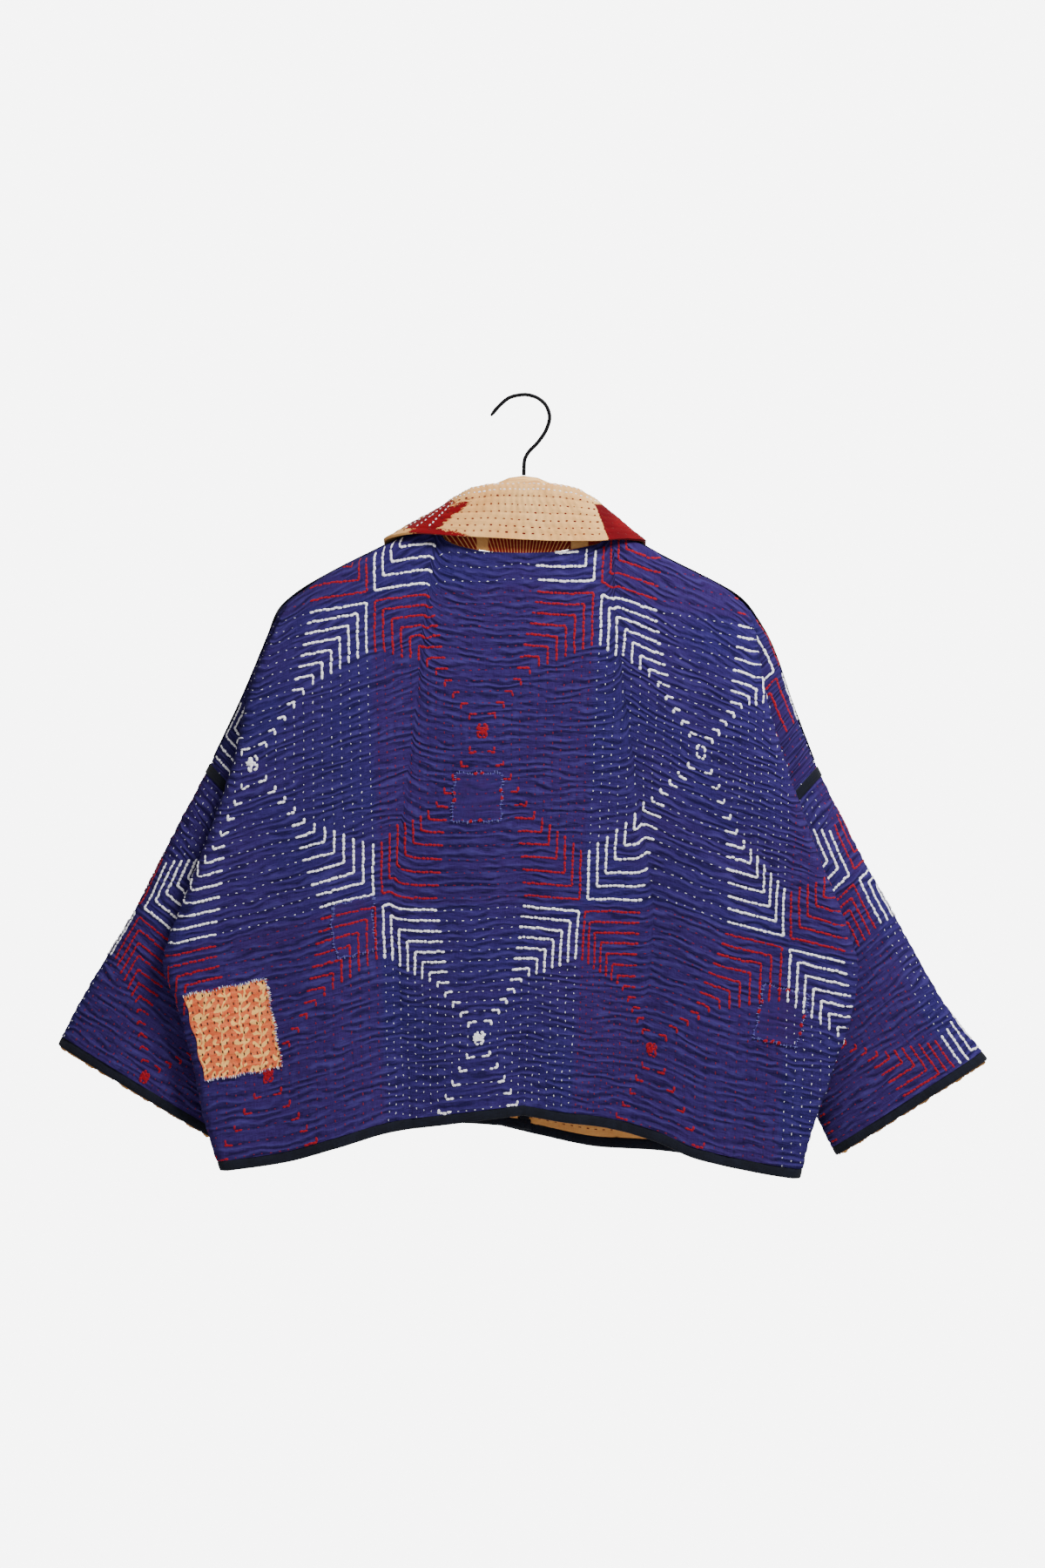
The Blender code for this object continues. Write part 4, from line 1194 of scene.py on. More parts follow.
def bindHem(grid, face, pieceName):
    # The rounded tape along a panel's hem
    line = grid[1]
    there = ~np.isnan(line[:, 0])
    across = unit(grid[2] - grid[0])
    normal = unit(np.cross(np.gradient(line[there], axis=0), across[there]))
    if face * normal[len(normal) // 2, 1] < 0:
        normal = -normal
    piece = ribbon(pieceName + "_tape", line[there], across[there], normal,
                   cloth["bindingWide"] / 2, cloth["binding"] / 2, tapeMaterial,
                   over=ribbonSizes["hemOver"])
    return seat(piece, "navy_binding", pieceName)


def makeBindings():
    rows = np.array([hemRow, (hemRow + 1) / 2, 1.0])
    f = np.linspace(0, 1, bindingSizes["openColumns"])
    behind, armward = bindingSizes["behind"], bindingSizes["armward"]
    left, right = (halfPanel(sides[k], -1, rows, f, behind, armward) for k in ("left", "right"))
    back = bindHem(np.concatenate([left[:, :0:-1], right], axis=1), -1, "hem_binding_back")
    panels["back"]["trim"].append(back)
    for label, side in sides.items():
        name = "front_" + label
        grid = halfPanel(side, 1, rows, f, behind, armward)
        panels[name]["trim"].append(bindHem(grid, 1, "hem_binding_" + name))
        edge = cloth["bindingWide"] / side["fold"][0][0]
        strip = openPart(side, 1, [0, edge / 2, edge], panelRows)
        strip[..., 0] *= side["sign"]
        across = unit(strip[:, 2] - strip[:, 0])
        normal = unit(np.cross(across, np.gradient(strip[:, 1], axis=0)))
        piece = ribbon("front_edge_tape_" + label, strip[:, 1], across, normal,
                       cloth["bindingWide"] / 2, cloth["binding"] / 2, tapeMaterial)
        panels[name]["trim"].append(seat(piece, "navy_binding", "front_edge_binding_" + label))
        long = math.dist(side["sleeveOut"][0], side["sleeveOut"][-1])
        cuff = 1 - cloth["bindingWide"] / long
        low, middle, high = (sleeveRing(side, t, sleeveSizes["around"])[0]
                             for t in (cuff, (cuff + 1) / 2, 1.0))
        across = unit(high - low)
        around = np.roll(middle, -1, axis=0) - np.roll(middle, 1, axis=0)
        normal = unit(np.cross(around, across))
        piece = ribbon("cuff_tape_" + label, middle, across, normal, cloth["bindingWide"] / 2,
                       cloth["binding"] / 2, tapeMaterial, closed=True, over=ribbonSizes["cuffOver"])
        panels["sleeve_" + label]["trim"].append(seat(piece, "navy_binding", "cuff_binding_" + label))


makeBindings()
print("bindings made")


# Tapes over the shoulder and armhole seams
tapeSizes = dict(shoulderFrom=0.03, shoulderTo=0.985, steps=90, forward=3.2, armholeFrom=2.0, across=9,
                 bendAtArm=14.0, bendFrom=(0.4, 0.5), rise=1.3, riseAt=(0.47, 0.16), armholeAcross=7)


def thinWall(name, grid, thick, lift, materials, flip, closed=False):
    # A closed wall of even thickness about a grid, moved out by lift
    cells = cellsOf(grid, flip, closed)
    normals = facing(grid, cells)
    down = np.concatenate([np.zeros((1, grid.shape[1])),
                           np.cumsum(np.linalg.norm(np.diff(grid, axis=0), axis=2), axis=0)])
    uv = np.stack([lengthAlong(grid, 0), down], axis=-1)
    return closedWall(name, grid, cells, flip, grid + normals * (lift + thick / 2),
                      grid + normals * (lift - thick / 2), materials, uv, closed=closed)


def makeTapes(label):
    side = sides[label]
    line = side["ridge"] + side["arm"]
    t = np.linspace(tapeSizes["shoulderFrom"], tapeSizes["shoulderTo"], tapeSizes["steps"])
    middle = path(line, t)
    along = unit(path(line, np.minimum(1, t + 0.01)) - path(line, t - 0.01))
    up = np.stack([-along[:, 1], along[:, 0]], axis=-1)
    start, over = tapeSizes["bendFrom"]
    bend = mix(shape["ridgeRound"], tapeSizes["bendAtArm"], ease((t - start) / over))
    at, reach = tapeSizes["riseAt"]
    rise = cloth["thick"] / 2 + 2 * cloth["gap"] + cloth["tape"] / 2
    rise = rise + tapeSizes["rise"] * ease(1 - np.abs(t - at) / reach)
    rows = []
    for c in np.linspace(-0.5, 0.5, tapeSizes["across"]):
        a = (c * cloth["bindingWide"] + tapeSizes["forward"]) / (bend + rise)
        flat = middle - up * bend[:, None] + up * (np.cos(a) * (bend + rise))[:, None]
        rows.append(np.stack([side["sign"] * flat[:, 0], np.sin(a) * (bend + rise), flat[:, 1]], axis=-1))
    grid = np.stack(rows, axis=1)
    piece = thinWall("shoulder_tape_" + label, grid, cloth["tape"], 0, [tapeMaterial], side["sign"] > 0)
    panels["back"]["trim"].append(seat(piece, "navy_binding", "shoulder_binding_" + label))
    long = math.dist(side["sleeveOut"][0], side["sleeveOut"][-1])
    start = sleeveSizes["gapAtArm"] + tapeSizes["armholeFrom"]
    rings = [sleeveRing(side, (start + a) / long, sleeveSizes["around"])[0]
             for a in np.linspace(0, cloth["bindingWide"], tapeSizes["armholeAcross"])]
    lift = (cloth["thick"] + cloth["tape"]) / 2 + 2 * cloth["gap"]
    piece = thinWall("armhole_tape_" + label, np.stack(rings), cloth["tape"], lift, [tapeMaterial],
                     side["sign"] < 0, closed=True)
    panels["sleeve_" + label]["trim"].append(seat(piece, "navy_binding", "armhole_binding_" + label))


for label in sides:
    makeTapes(label)
print("tapes made")


# Collar: one piece, with its foot inside the neckline, a stand, a roll and a deep fall
collar = dict(
    turns=[0, 0.2, 0.36, 0.44, 0.5, 0.56, 0.64, 0.78, 0.9, 1.0],
    roll=[(0, -20, -92), (26, -20, -92), (52, -17, -96), (66, -12, -103), (77, 0, -110),
          (75, 12, -118), (67, 20, -134), (45, 28, -163), (23, 31, -184), (4, 32, -194)],
    columns=110, stand=22, fall=30, fallDeep=63.0,
    rows=[1.5, 7.5, 15.0, 24.5, 32.5, 40.5, 48.5, 55.5], relief=0.75, whiteRows=2,
    strokes=[((-116, -143), (-56, -109), 15, 0.8), ((-114, -140), (-58, -145), 9, 0.72),
             ((-96, -122), (-74, -108), 9, 0.3)],
    crestWide=3.6, uneven=(0.4, 26), pucker=(0.3, 7.3, 40), small=(0.25, 12), rowEnd=4, whitePitch=6.4,
    redPitch=7.6, slack=0.7, longs=(0.7, 1.15), barsAt=(-107.0, -95.4, -85.0), barRows=(18, 52, 4.6),
    barHalf=1.4,
)
# Where the print lies, its places in metres: a slanting edge and its foot on the right of the
# outside; on the underside rays from a point, and two plain bands between X places
collarPrint = dict(slant=(0.388, 0.25), edge=(0.0298, 0.0306), foot=(-0.113, -0.111), rayFrom=(0.004, 0.24),
                   rays=165, rayTorn=36, rayEnds=(0.55, 0.95), raysTo=(0.046, 0.048),
                   bands=((-0.0486, -0.0369), (0.0487, 0.0665)), wide=(0.098, 0.1), torn=0.022)


def collarFoot(side, t):
    face = -1 if t <= 0.5 else 1
    x = shape["neckPoint"] * math.sin(math.pi * t)
    x = max(1.6, x) if t > 0.5 else x
    low, high = next((a, b) for a, b in zip(shape["neckColumns"], shape["neckColumns"][1:])
                     if x <= b + 0.0001)
    share = (x - low) / (high - low)
    near = [float(k) for k in topEdge(side, face, low)]
    far = [float(k) for k in topEdge(side, face, high)]
    along = Vector((high - low, far[1] - near[1])).normalized()
    clear = mix(0.0, 2.0, along.y)
    return (x - along.y * clear, face * mix(near[0], far[0], share),
            mix(near[1], far[1], share) + along.x * clear)


def collarColumn(side, t):
    # Places down one section: up the stand, over the roll and down the fall
    roll, edge = (np.array([float(curve(list(zip(collar["turns"], [p[k] for p in line])), t))
                            for k in range(3)]) for line in (collar["roll"], side["collarEdge"]))
    foot = np.array(collarFoot(side, t))
    out = edge - foot
    out[2] = 0
    out /= np.linalg.norm(out)
    drop = np.array([0, 0, -shape["rollRound"]])
    inside, outside = roll - out * shape["rollRound"] + drop, roll + out * shape["rollRound"] + drop
    points = np.array([foot, (foot + inside) / 2, inside, roll, outside, (outside + edge) / 2, edge])
    along = np.concatenate([[0], np.cumsum(np.linalg.norm(np.diff(points, axis=0), axis=1))])
    at = np.concatenate([np.linspace(0, along[3], collar["stand"]),
                         np.linspace(along[3], along[-1], collar["fall"])[1:]])
    return np.stack([curve(list(zip(along, points[:, k])), at) for k in range(3)], axis=-1)


def stroke(tree, x, z, start, end, half, taper, ragged):
    # A mask of a torn-edged stroke that thins towards its end, in millimetres across X and Z
    (ax, az), (bx, bz) = start, end
    long = math.hypot(bx - ax, bz - az)
    dx, dz = (bx - ax) / long, (bz - az) / long
    along = maths(tree, "MULTIPLY_ADD", x, dx, -(ax * dx + az * dz) * mm)
    along = maths(tree, "MULTIPLY_ADD", z, dz, along)
    across = maths(tree, "MULTIPLY_ADD", x, -dz, (ax * dz - az * dx) * mm)
    across = maths(tree, "ABSOLUTE", maths(tree, "MULTIPLY_ADD", z, dx, across))
    across = maths(tree, "ADD", across, maths(tree, "ABSOLUTE", ragged))
    along = maths(tree, "ADD", along, maths(tree, "MULTIPLY", ragged, 2.2))
    spread = maths(tree, "MULTIPLY_ADD", along, half * taper / long, across)
    inside = between(tree, spread, (half - 0.4) * mm, (half + 0.4) * mm, 1.0, 0.0)
    inside = maths(tree, "MULTIPLY", inside, between(tree, along, -0.5 * mm, 0.5 * mm))
    return maths(tree, "MULTIPLY", inside,
                 between(tree, along, (long - 0.5) * mm, (long + 0.5) * mm, 1.0, 0.0))


def outsidePrint(tree, x, z, ragged):
    lean, torn = collarPrint["slant"]
    slant = maths(tree, "MULTIPLY_ADD", z, lean, maths(tree, "MULTIPLY", ragged, torn))
    red = maths(tree, "MULTIPLY", between(tree, maths(tree, "ADD", x, slant), *collarPrint["edge"]),
                between(tree, z, *collarPrint["foot"], 1.0, 0.0))
    for start, end, half, taper in collar["strokes"]:
        red = maths(tree, "MAXIMUM", red, stroke(tree, x, z, start, end, half, taper, ragged))
    return red


def undersidePrint(tree, x, z, ragged):
    fromX, fromZ = collarPrint["rayFrom"]
    angle = maths(tree, "ARCTAN2", maths(tree, "ADD", x, fromX), maths(tree, "ADD", z, fromZ))
    rays = maths(tree, "SINE", maths(tree, "MULTIPLY", angle, collarPrint["rays"]))
    rays = maths(tree, "ADD", rays, maths(tree, "MULTIPLY", ragged, collarPrint["rayTorn"]))
    rays = between(tree, rays, *collarPrint["rayEnds"])
    middle = between(tree, x, *collarPrint["raysTo"], 1.0, 0.0)
    red = maths(tree, "SUBTRACT", 1.0, maths(tree, "MULTIPLY", rays, middle))
    for low, high in collarPrint["bands"]:
        inside = maths(tree, "MULTIPLY", between(tree, x, low, low + mm),
                       between(tree, x, high, high + mm, 1.0, 0.0))
        red = maths(tree, "MULTIPLY", red, maths(tree, "SUBTRACT", 1.0, inside))
    wide = maths(tree, "ABSOLUTE", maths(tree, "ADD", x, ragged))
    return maths(tree, "MULTIPLY", red, between(tree, wide, *collarPrint["wide"], 1.0, 0.0))


def makeCollarMaterials():
    # Tan with a dark red print: where it lies follows the places on the jacket
    made = []
    for name in ("collarOutside", "collarUnder"):
        material, tree, shader = startMaterial(name, 0.92, 0.05)
        place = clothMap(tree)
        where = tree.nodes.new("ShaderNodeTexCoord").outputs["Object"]
        part = split(tree, where)
        x, z = part[0], part[2]
        torn = noise(tree, where, 1.0, 4.0, 0.75, (90, 90, 420))
        ragged = maths(tree, "MULTIPLY_ADD", torn, collarPrint["torn"], -collarPrint["torn"] / 2)
        red = (outsidePrint if name == "collarOutside" else undersidePrint)(tree, x, z, ragged)
        drift = between(tree, noise(tree, place, 16, 3), 0.35, 0.7)
        base = colourMix(tree, drift, tanLook["base"], tanLook["pale"])
        high, speck = addWeave(tree, place)
        base = tint(tree, base, tanLook["pale"], speck, 0.75, 1.3, 0.0, 0.3)
        cherry = colourMix(tree, drift, tanLook["red"], tanLook["darkRed"])
        base = colourMix(tree, red, base, cherry)
        # Painted shade: browner and darker in the grooves along the stitch rows
        crest = attribute(tree, "crest")
        base = tint(tree, base, rgb(112, 40, 20), crest, 0.0, 0.5, 0.3, 0.0)
        tree.links.new(base, shader.inputs["Base Color"])
        first = addBump(tree, shader, noise(tree, place, 1.0, 3.0, 0.6, (160, 260, 1)), 0.5, 0.001)
        addBump(tree, shader, high, 0.5, 0.0002, first)
        made.append(material)
    return made


def makeCollar():
    turns = np.linspace(0, 1, collar["columns"])
    halves = {}
    for label, side in sides.items():
        halves[label] = np.stack([collarColumn(side, t) for t in turns], axis=1)
        halves[label][..., 0] *= side["sign"]
    grid = np.concatenate([halves["left"][:, :0:-1], halves["right"]], axis=1)
    cells = cellsOf(grid, False)
    normals = facing(grid, cells)
    rollRow = collar["stand"] - 1
    u = lengthAlong(grid[rollRow + collar["fall"] // 2][None], collar["columns"] - 1)[0]
    down = np.concatenate([np.linspace(-1, 0, collar["stand"]), np.linspace(0, 1, collar["fall"])[1:]])
    v = down * collar["fallDeep"]
    rows = np.array(collar["rows"])
    lines = np.concatenate([-rows[::-1], rows])
    near = np.abs(v[:, None] - lines[None, :]).min(axis=1)
    crest = np.clip(near / collar["crestWide"], 0, 1) ** 0.7
    uu, vv = np.meshgrid(u, v)
    (uneven, unevenSize), (small, smallSize) = collar["uneven"], collar["small"]
    pucker, pitch, stray = collar["pucker"]
    high = crest[:, None] * collar["relief"] * (1 + uneven * waves(uu, vv, 41, unevenSize))
    high = high + pucker * np.sin(2 * np.pi * uu / pitch + 2 * waves(uu, vv, 42, stray))
    high = high + small * waves(uu, vv, 43, smallSize)
    outer = grid + normals * (cloth["thick"] / 2 + high[..., None])
    under = grid - normals * (cloth["thick"] / 2)
    made = closedWall("collar_cloth", grid, cells, False, outer, under, makeCollarMaterials(),
                      np.stack([uu, -vv], axis=-1), dict(crest=np.repeat(crest[:, None], len(u), 1)))
    seat(made, "tan_print", "collar")
    region = dict(layout="collar", outer=outer, normals=normals, u=np.broadcast_to(u, uu.shape), v=v)
    panels["collar"] = dict(piece=made, regions=[region], area=sheetArea(grid, cells),
                            trim=sewCollar(region, lines, u[-1] - collar["rowEnd"]),
                            flat=(2.0 * float(u[-1]), cutSizes["collarDeep"]))
    print("collar made, area", round(panels["collar"]["area"], 3))


def sewCollar(region, rows, reach):
    # Rows of stitches along the collar, and three short upright bars of white ones
    parts = {"white": [], "wine": []}
    slack = collar["slack"]
    for row in rows:
        white = abs(row) < collar["rows"][collar["whiteRows"]]
        kind, pitch = ("whiteDash", collar["whitePitch"]) if white else ("redDash", collar["redPitch"])
        at = np.arange(-reach, reach, pitch) + dice.uniform(0, pitch)
        at = at + dice.uniform(-slack, slack, len(at))
        wander = 0.7 * waves(at, 0 * at + row, 44, 60)
        long = stitchSizes[kind][0] * dice.uniform(*collar["longs"], len(at))
        lines = np.stack([at - long / 2, row + wander, at + long / 2, row + wander], axis=1)
        parts[kindThread[kind]].append(sewn(region, kind, lines))
    for x in collar["barsAt"]:
        at = np.arange(*collar["barRows"])
        lines = np.stack([x + 0 * at, at - collar["barHalf"], x + 0 * at, at + collar["barHalf"]], axis=1)
        parts["white"].append(sewn(region, "whiteDash", lines))
    return [seat(threadMesh(f"collar_{thread}_stitches", found, threads[thread]), "tan_print")
            for thread, found in parts.items()]


makeCollar()


# Mending patches on the back, which follow the quilt's puckers
patchList = {
    "patch_coral": dict(side="left", f=(0.755, 0.995), v=(0.70, 0.845), slot="coral_print"),
    "patch_centre": dict(side="left", f=(0.07, 0.225), v=(0.39, 0.475), slot="blue_patch"),
    "patch_left": dict(side="left", f=(0.43, 0.545), v=(0.61, 0.70), slot="blue_patch"),
    "patch_right": dict(side="right", f=(0.745, 0.885), v=(0.695, 0.785), slot="blue_patch"),
}
patchSizes = dict(count=34, wobble=0.004, coralWhip=1.25, blueWhip=3.4, tackRows=12, tackHalf=0.019,
                  tackLift=0.25, tackWide=1.4, tackHigh=0.5, knot=(5, 1.2, 4.2), knotThin=0.9)
# Red knots at shares across and down the blue patches
patchKnots = {
    "patch_centre": [(0.42, 0.0), (0.56, 0.0), (0.4, 1.0), (0.58, 1.0), (0.0, 0.42), (0.0, 0.56),
                     (1.0, 0.36), (1.0, 0.52)],
    "patch_right": [(0.36, 0.02), (0.55, 0.02), (0.0, 0.32), (0.0, 0.5), (1.0, 0.42), (1.0, 0.58),
                    (1.0, 0.74), (0.3, 1.0), (0.46, 1.0), (0.62, 1.0)],
}


def blend(grid, r, c):  # values of a grid at places between its rows and columns
    r0, c0 = (np.minimum(k.astype(int), size - 2) for k, size in zip((r, c), grid.shape))
    t, s = (r - r0)[..., None], (c - c0)[..., None]
    return ((grid[r0, c0] * (1 - s) + grid[r0, c0 + 1] * s) * (1 - t)
            + (grid[r0 + 1, c0] * (1 - s) + grid[r0 + 1, c0 + 1] * s) * t)


def onBack(sign, f, v):  # outside places and normals of the back at shares f and v
    back = panels["back"]
    c = back["centre"] + sign * f * (panelSizes["openColumns"] - 1)
    r = np.interp(v, panelRows, np.arange(len(panelRows)))
    return blend(back["outer"], r, c), unit(blend(back["normals"], r, c))


# Sizes of the leafy print in metres, and its shape in shares of a column and a row
leafLook = dict(column=0.0205, row=0.0108, stagger=0.43, warp=0.016, lean=-0.32, sway=(95, 0.002),
                at=(2.1, 0.46), rise=0.55, leaf=(0.42, 0.26), fuzzy=0.9, uneven=(3.4, -1.45),
                edge=(0.85, 1.1), stem=(0.035, 0.06), stemFuzzy=0.03)


def leafPrint(tree, place, x, y):
    # A mask of leaves that rise in pairs from stems, with worn and uneven edges
    warp = noise(tree, place, 75, 2, 0.5)
    warp = maths(tree, "MULTIPLY_ADD", warp, leafLook["warp"], -leafLook["warp"] / 2)
    x = maths(tree, "ADD", maths(tree, "MULTIPLY_ADD", y, leafLook["lean"], x), warp)
    turn, far = leafLook["sway"]
    sway = maths(tree, "MULTIPLY", maths(tree, "SINE", maths(tree, "MULTIPLY", y, turn)), far)
    y = maths(tree, "ADD", y, maths(tree, "MULTIPLY", warp, 0.8))
    column = maths(tree, "DIVIDE", maths(tree, "ADD", x, sway), leafLook["column"])
    cell = maths(tree, "MULTIPLY", maths(tree, "FLOOR", column), leafLook["stagger"])
    across = maths(tree, "ABSOLUTE", maths(tree, "SUBTRACT", maths(tree, "FRACT", column), 0.5))
    rows = maths(tree, "ADD", maths(tree, "DIVIDE", y, leafLook["row"]), cell)
    up = maths(tree, "SUBTRACT", maths(tree, "FRACT", rows), 0.5)
    spread, middle = leafLook["at"]
    a = maths(tree, "SUBTRACT", maths(tree, "MULTIPLY", across, spread), middle)
    b = maths(tree, "SUBTRACT", up, maths(tree, "MULTIPLY", a, leafLook["rise"]))
    a, b = (maths(tree, "POWER", maths(tree, "DIVIDE", k, size), 2.0)
            for k, size in zip((a, b), leafLook["leaf"]))
    leaf = maths(tree, "ADD", a, b)
    fuzzy = maths(tree, "SUBTRACT", noise(tree, place, 300, 2), 0.5)
    fuzzy = maths(tree, "MULTIPLY", fuzzy, leafLook["fuzzy"])
    uneven = maths(tree, "MULTIPLY_ADD", noise(tree, place, 95, 2, 0.5), *leafLook["uneven"])
    leaf = maths(tree, "ADD", maths(tree, "ADD", leaf, fuzzy), uneven)
    stem = maths(tree, "ADD", across, maths(tree, "MULTIPLY", fuzzy, leafLook["stemFuzzy"]))
    return maths(tree, "MAXIMUM", between(tree, leaf, *leafLook["edge"], 1.0, 0.0),
                 between(tree, stem, *leafLook["stem"], 1.0, 0.0))


def makePatchMaterial(coral):
    material, tree, shader = startMaterial("coralPatch" if coral else "bluePatch", 0.95)
    place = clothMap(tree)
    part = split(tree, place)
    drift = between(tree, noise(tree, place, 60, 3, 0.6), 0.35, 0.7)
    ripple, fold = addRipples(tree, place)
    if coral:
        base = colourMix(tree, drift, rgb(190, 54, 30), rgb(206, 88, 52))
        base = colourMix(tree, leafPrint(tree, place, part[0], part[1]), base, rgb(236, 180, 96))
        paler = between(tree, noise(tree, place, 140, 4, 0.7), 0.6, 0.72, 0.0, 0.5)
        base = colourMix(tree, paler, base, rgb(206, 124, 78))
        rim, pale = rgb(140, 30, 34), rgb(226, 160, 96)
    else:
        base = colourMix(tree, drift, quiltLook["violet"], quiltLook["warm"])
        # Painted shade: darker in the ripples' valleys
        base = tint(tree, base, quiltLook["deep"], fold, 0.0, 0.4, 0.6, 0.0)
        rim, pale = rgb(74, 66, 140), quiltLook["fadedAndHighlight"]
    frayed = maths(tree, "MULTIPLY_ADD", noise(tree, place, 300, 3, 0.7), 5.0, -2.2)
    frayed = maths(tree, "ADD", attribute(tree, "fromEdge"), frayed)
    base = tint(tree, base, rim, frayed, 0.5, 1.3, 0.8, 0.0)
    high, speck = addWeave(tree, place)
    base = tint(tree, base, pale, speck, 0.7, 1.25, 0.0, 0.35)
    tree.links.new(base, shader.inputs["Base Color"])
    first = addBump(tree, shader, ripple, 0.6, 0.0012)
    addBump(tree, shader, high, 0.5, 0.0002, first)
    return material


patchMaterials = {"coral_print": makePatchMaterial(True), "blue_patch": makePatchMaterial(False)}


def makePatch(name):
    spec = patchList[name]
    sign = sides[spec["side"]]["sign"]
    share = np.linspace(0, 1, patchSizes["count"])
    wobble = patchSizes["wobble"] * np.sin(share * 17 + 2) * np.minimum(1, 6 * np.minimum(share, 1 - share))
    ff, vv = np.meshgrid(mix(*spec["f"], share), mix(*spec["v"], share))
    ff = ff + (wobble[:, None] * np.abs(2 * share - 1)[None, :]) * 0.6
    vv = vv + (wobble[None, :] * np.abs(2 * share - 1)[:, None]) * 0.35
    if sign < 0:
        ff = ff[:, ::-1]
    skin, normals = onBack(sign, ff, vv)
    outer = skin + normals * (cloth["gap"] / 2 + cloth["patch"])
    under = skin + normals * cloth["gap"] / 2
    cells = cellsOf(skin, False)
    uv = np.stack([lengthAlong(skin, 0), -vv * shape["hangHigh"]], axis=-1)
    wide, high = uv[..., 0].max(), (spec["v"][1] - spec["v"][0]) * shape["hangHigh"]
    fromEdge = np.minimum.outer(np.minimum(share, 1 - share) * high, np.minimum(share, 1 - share) * wide)
    piece = closedWall(name + "_cloth", skin, cells, False, outer, under, [patchMaterials[spec["slot"]]],
                       uv, dict(fromEdge=fromEdge))
    seat(piece, spec["slot"], name)
    panels["back"]["trim"].append(piece)
    return outer, normals


patches = {name: makePatch(name) for name in patchList}


def onPatch(name, x, y):  # places and normals at shares x, y across and down a patch
    last = patchSizes["count"] - 1
    c, r = np.clip(x, 0, 1) * last, np.clip(y, 0, 1) * last
    return [blend(k, r, c) for k in patches[name]]


def whipEdges(name, edges, pitch):
    # Short strands over a patch's edges, as starts, ends, normals, widths and heights
    found = []
    middle = onPatch(name, np.array([0.5]), np.array([0.5]))[0]
    for start, end in edges:
        a, b = onPatch(name, *np.array([start, end], float).T)[0]
        count = int(np.linalg.norm(b - a) / pitch)
        t = (np.arange(count) + dice.uniform(0.1, 0.9, count)) / count
        place, normal = onPatch(name, mix(start[0], end[0], t), mix(start[1], end[1], t))
        inward, run = middle - place, unit(b - a)
        inward = unit(inward - (inward @ run)[:, None] * run[None, :])
        lean = run[None, :] * dice.uniform(-0.5, 0.5, count)[:, None]
        inner = place + (inward + lean) * dice.uniform(0.5, 2.4, count)[:, None] + normal * 0.3
        outside = place - (inward - lean * 0.5) * dice.uniform(0.6, 2.6, count)[:, None] + normal * 0.1
        _, wide, high, _ = stitchSizes["whip"]
        found.append((inner, outside, unit(normal), np.full(count, wide), np.full(count, high)))
    return [np.concatenate([f[k] for f in found]) for k in range(5)]


def knotsOn(name, places):
    # Small tied knots of red thread at places on a patch
    outer, _ = patches[name]
    wide, high = (np.linalg.norm(outer[0, -1] - outer[0, 0]), np.linalg.norm(outer[-1, 0] - outer[0, 0]))
    lines = np.concatenate([knotLines(x * wide, y * high, *patchSizes["knot"]) for x, y in places])
    ends = [onPatch(name, lines[:, k] / wide, lines[:, k + 1] / high) for k in (0, 2)]
    size = [np.full(len(lines), stitchSizes["redBold"][k] * patchSizes["knotThin"]) for k in (1, 2)]
    return [ends[0][0], ends[1][0], unit(ends[0][1]), *size]


def sewPatches():
    # Whipped edges, knots, and rows of small tacks on the coral patch
    square = [((0, 0), (1, 0)), ((0, 1), (1, 1)), ((1, 0), (1, 1)), ((0, 0), (0, 1))]
    parts = {thread: [] for thread in ("white", "blue", "red", "brown")}
    strands = whipEdges("patch_coral", square[:3], patchSizes["coralWhip"])
    pick = dice.uniform(0, 1, len(strands[0]))
    for thread, low, high in (("white", 0, 0.55), ("blue", 0.55, 0.8), ("red", 0.8, 1)):
        parts[thread].append([k[(pick >= low) & (pick < high)] for k in strands])
    for name in ("patch_centre", "patch_left", "patch_right"):
        parts["blue"].append(whipEdges(name, square, patchSizes["blueWhip"]))
    for name, places in patchKnots.items():
        parts["red"].append(knotsOn(name, places))
    count, half = patchSizes["tackRows"], patchSizes["tackHalf"]
    x, y = np.meshgrid((np.arange(count) + 0.5) / count, (np.arange(count) + 0.5) / count)
    x = (x + 0.012 * np.sin(y * 9) + dice.uniform(-0.008, 0.008, x.shape)).reshape(-1)
    y = (y + dice.uniform(-0.01, 0.01, y.shape)).reshape(-1)
    top, normal = onPatch("patch_coral", x, y - half)
    low, _ = onPatch("patch_coral", x, y + half)
    lift = normal * patchSizes["tackLift"]
    size = [np.full(len(x), patchSizes[key]) for key in ("tackWide", "tackHigh")]
    parts["brown"].append([top + lift, low + lift, unit(normal), *size])
    for thread, found in parts.items():
        piece = threadMesh(f"patches_{thread}_stitches", found, threads[thread])
        panels["back"]["trim"].append(seat(piece, "coral_print" if thread == "brown" else "blue_patch"))


sewPatches()
print("patches made")


def clearOfPatches(part):
    # Lifts stitches on to the blue patches and drops those under the coral one
    p0, p1, normal, wide, high = part
    keep = np.ones(len(p0), bool)
    for name, (outer, _) in patches.items():
        ring = np.array([outer[0, 0], outer[0, -1], outer[-1, -1], outer[-1, 0]])[:, [0, 2]]
        middle = ((p0 + p1) / 2)[:, [0, 2]]
        within = np.full(len(p0), normal[:, 1].mean() < 0.5)
        for a, b in zip(ring, np.roll(ring, -1, axis=0)):
            side = (b[0] - a[0]) * (middle[:, 1] - a[1]) - (b[1] - a[1]) * (middle[:, 0] - a[0])
            within &= side < 0
        within &= p0[:, 1] < 0
        if name == "patch_coral":
            keep &= ~within
        else:
            lift = (normal * (cloth["patch"] + cloth["gap"] / 2)) * within[:, None]
            p0, p1 = p0 + lift, p1 + lift
    return [k[keep] for k in (p0, p1, normal, wide, high)]


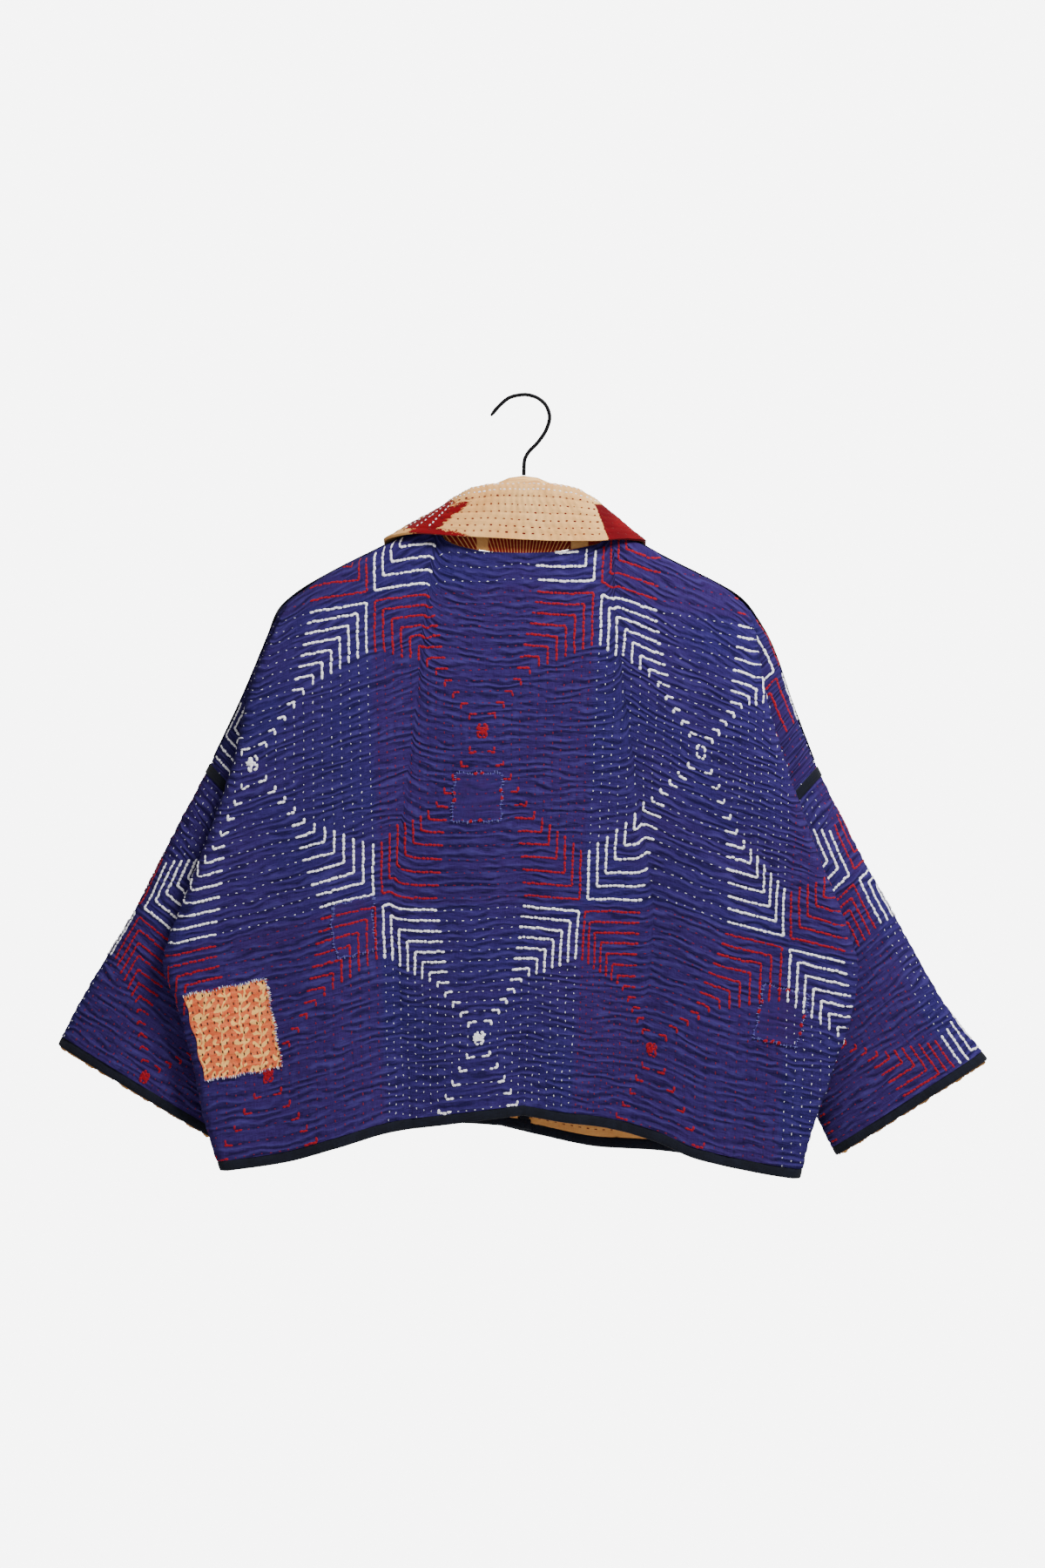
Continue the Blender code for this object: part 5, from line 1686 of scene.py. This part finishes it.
def sewPanel(name):
    # The panel's stitches, as one piece for each thread
    parts = {}
    for region in panels[name]["regions"]:
        for kind, lines in patternStitches(layouts[region["layout"]]).items():
            if len(lines):
                part = sewn(region, kind, lines)
                if name == "back":
                    part = clearOfPatches(part)
                parts.setdefault(kindThread[kind], []).append(part)
    for thread, found in parts.items():
        if sum(len(p[0]) for p in found):
            piece = threadMesh(f"{name}_{thread}_stitches", found, threads[thread])
            panels[name]["trim"].append(seat(piece, "indigo_quilt"))
    print(name, "sewn")


for name in ("back", "front_left", "front_right", "sleeve_left", "sleeve_right"):
    sewPanel(name)


liningSizes = dict(around=150, deep=6.0, thick=1.0, step=4.0, past=1.5, uneven=(0.8, 40), torn=0.5)


def makeLining(label):
    # The frayed edge of the inner layers, which shows just past the cuff tape
    side = sides[label]
    long = math.dist(side["sleeveOut"][0], side["sleeveOut"][-1])
    deep, thick, torn = (liningSizes[key] for key in ("deep", "thick", "torn"))
    end, before = (sleeveRing(side, t, liningSizes["around"])[0] for t in (1.0, 1 - deep / long))
    across = unit(end - before)
    run = np.arange(len(end)) * liningSizes["step"]
    uneven, unevenLong = liningSizes["uneven"]
    past = liningSizes["past"] + uneven * waves(run, 0 * run, 51, unevenLong)
    past = past + dice.uniform(-torn, torn, len(end))
    grid = np.stack([end + across * d for d in (-deep, -deep / 2, 0.0)] + [end + across * past[:, None]])
    piece = thinWall("cuff_lining_" + label, grid, thick, -(cloth["binding"] / 2 + thick), [insideMaterial],
                     side["sign"] < 0, closed=True)
    panels["sleeve_" + label]["trim"].append(seat(piece, "tan_print"))


for label in sides:
    makeLining(label)


# Wood and wire
def makeHangerMaterials():
    wood, tree, shader = startMaterial("paleWood", 0.45)
    shader.inputs["Coat Weight"].default_value = 0.25
    where = tree.nodes.new("ShaderNodeTexCoord").outputs["Object"]
    grain = noise(tree, where, 1.0, 4.0, 0.6, (12, 160, 160))
    rings = maths(tree, "SINE", maths(tree, "MULTIPLY", grain, 34))
    base = colourMix(tree, between(tree, rings, -1.0, 1.0), rgb(240, 190, 120), rgb(220, 160, 92))
    fine = noise(tree, where, 1.0, 2.0, 0.6, (30, 900, 900))
    base = tint(tree, base, rgb(188, 140, 92), fine, 0.55, 0.75, 0.0, 0.4)
    tree.links.new(base, shader.inputs["Base Color"])
    addBump(tree, shader, fine, 0.25, 0.0002)
    wire, tree, shader = startMaterial("blackWire", 0.38)
    shader.inputs["Metallic"].default_value = 0.6
    where = tree.nodes.new("ShaderNodeTexCoord").outputs["Object"]
    chipped = noise(tree, where, 700, 3)
    base = colourMix(tree, between(tree, chipped, 0.62, 0.72), rgb(26, 26, 28), rgb(74, 72, 74))
    tree.links.new(base, shader.inputs["Base Color"])
    addBump(tree, shader, chipped, 0.2, 0.0001)
    for name, material in (("hanger_bar", wood), ("hanger_hook", wire)):
        mesh = frame["nodes"][name].data
        mesh.materials.clear()
        mesh.materials.append(material)


makeHangerMaterials()
print("hanger finished")


# Camera, light and floor
view = dict(far=8.0, frameHigh=1.62, centre=(-0.0009, -0.4014), garmentY=-0.02, sensor=36.0)
lights = dict(  # place, target, size and power
    key=((1.2, -1.45, 1.5), (0.1, 0, -0.4), 0.9, 158),
    fill=((-2.2, -2.4, -0.2), (0, 0, -0.45), 2.0, 12),
    behind=((0.3, 2.4, 0.9), (0, 0, -0.4), 1.6, 40),
)
studio = dict(around=0.4, straightMore=6.6, floorWide=1.9, floorHigh=-1.325, floorGrey=0.9)


def makeCamera():
    bpy.ops.object.camera_add(location=(view["centre"][0], -view["far"], view["centre"][1]),
                              rotation=(math.pi / 2, 0, 0))
    camera = bpy.context.object
    camera.name = "photoCamera"
    camera.data.sensor_fit = "VERTICAL"
    camera.data.sensor_height = view["sensor"]
    camera.data.lens = view["sensor"] * (view["far"] + view["garmentY"]) / view["frameHigh"]
    bpy.context.scene.camera = camera


def areaLight(name, place, target, size, power):
    bpy.ops.object.light_add(type="AREA", location=place)
    light = bpy.context.object
    light.name = name
    light.data.size = size
    light.data.energy = power
    light.rotation_euler = (Vector(target) - Vector(place)).to_track_quat("-Z", "Y").to_euler()


def makeStudio():
    # Dim white light all round, and far brighter where the camera looks straight at it
    world = bpy.data.worlds.new("paleStudio")
    world.use_nodes = True
    tree = world.node_tree
    straight = tree.nodes.new("ShaderNodeLightPath").outputs["Is Camera Ray"]
    strength = maths(tree, "MULTIPLY_ADD", straight, studio["straightMore"], studio["around"])
    tree.links.new(strength, tree.nodes["Background"].inputs["Strength"])
    tree.nodes["Background"].inputs["Color"].default_value = (1.0, 1.0, 1.0, 1)
    bpy.context.scene.world = world
    bpy.ops.mesh.primitive_plane_add(size=studio["floorWide"], location=(0, 0, studio["floorHigh"]))
    floor = bpy.context.object
    floor.name = "floor"
    material, _, shader = startMaterial("paleFloor", 0.8)
    shader.inputs["Base Color"].default_value = (*[studio["floorGrey"]] * 3, 1)
    floor.data.materials.append(material)


deselectAll()
makeCamera()
for name, (place, target, size, power) in lights.items():
    areaLight(name, place, target, size, power)
makeStudio()
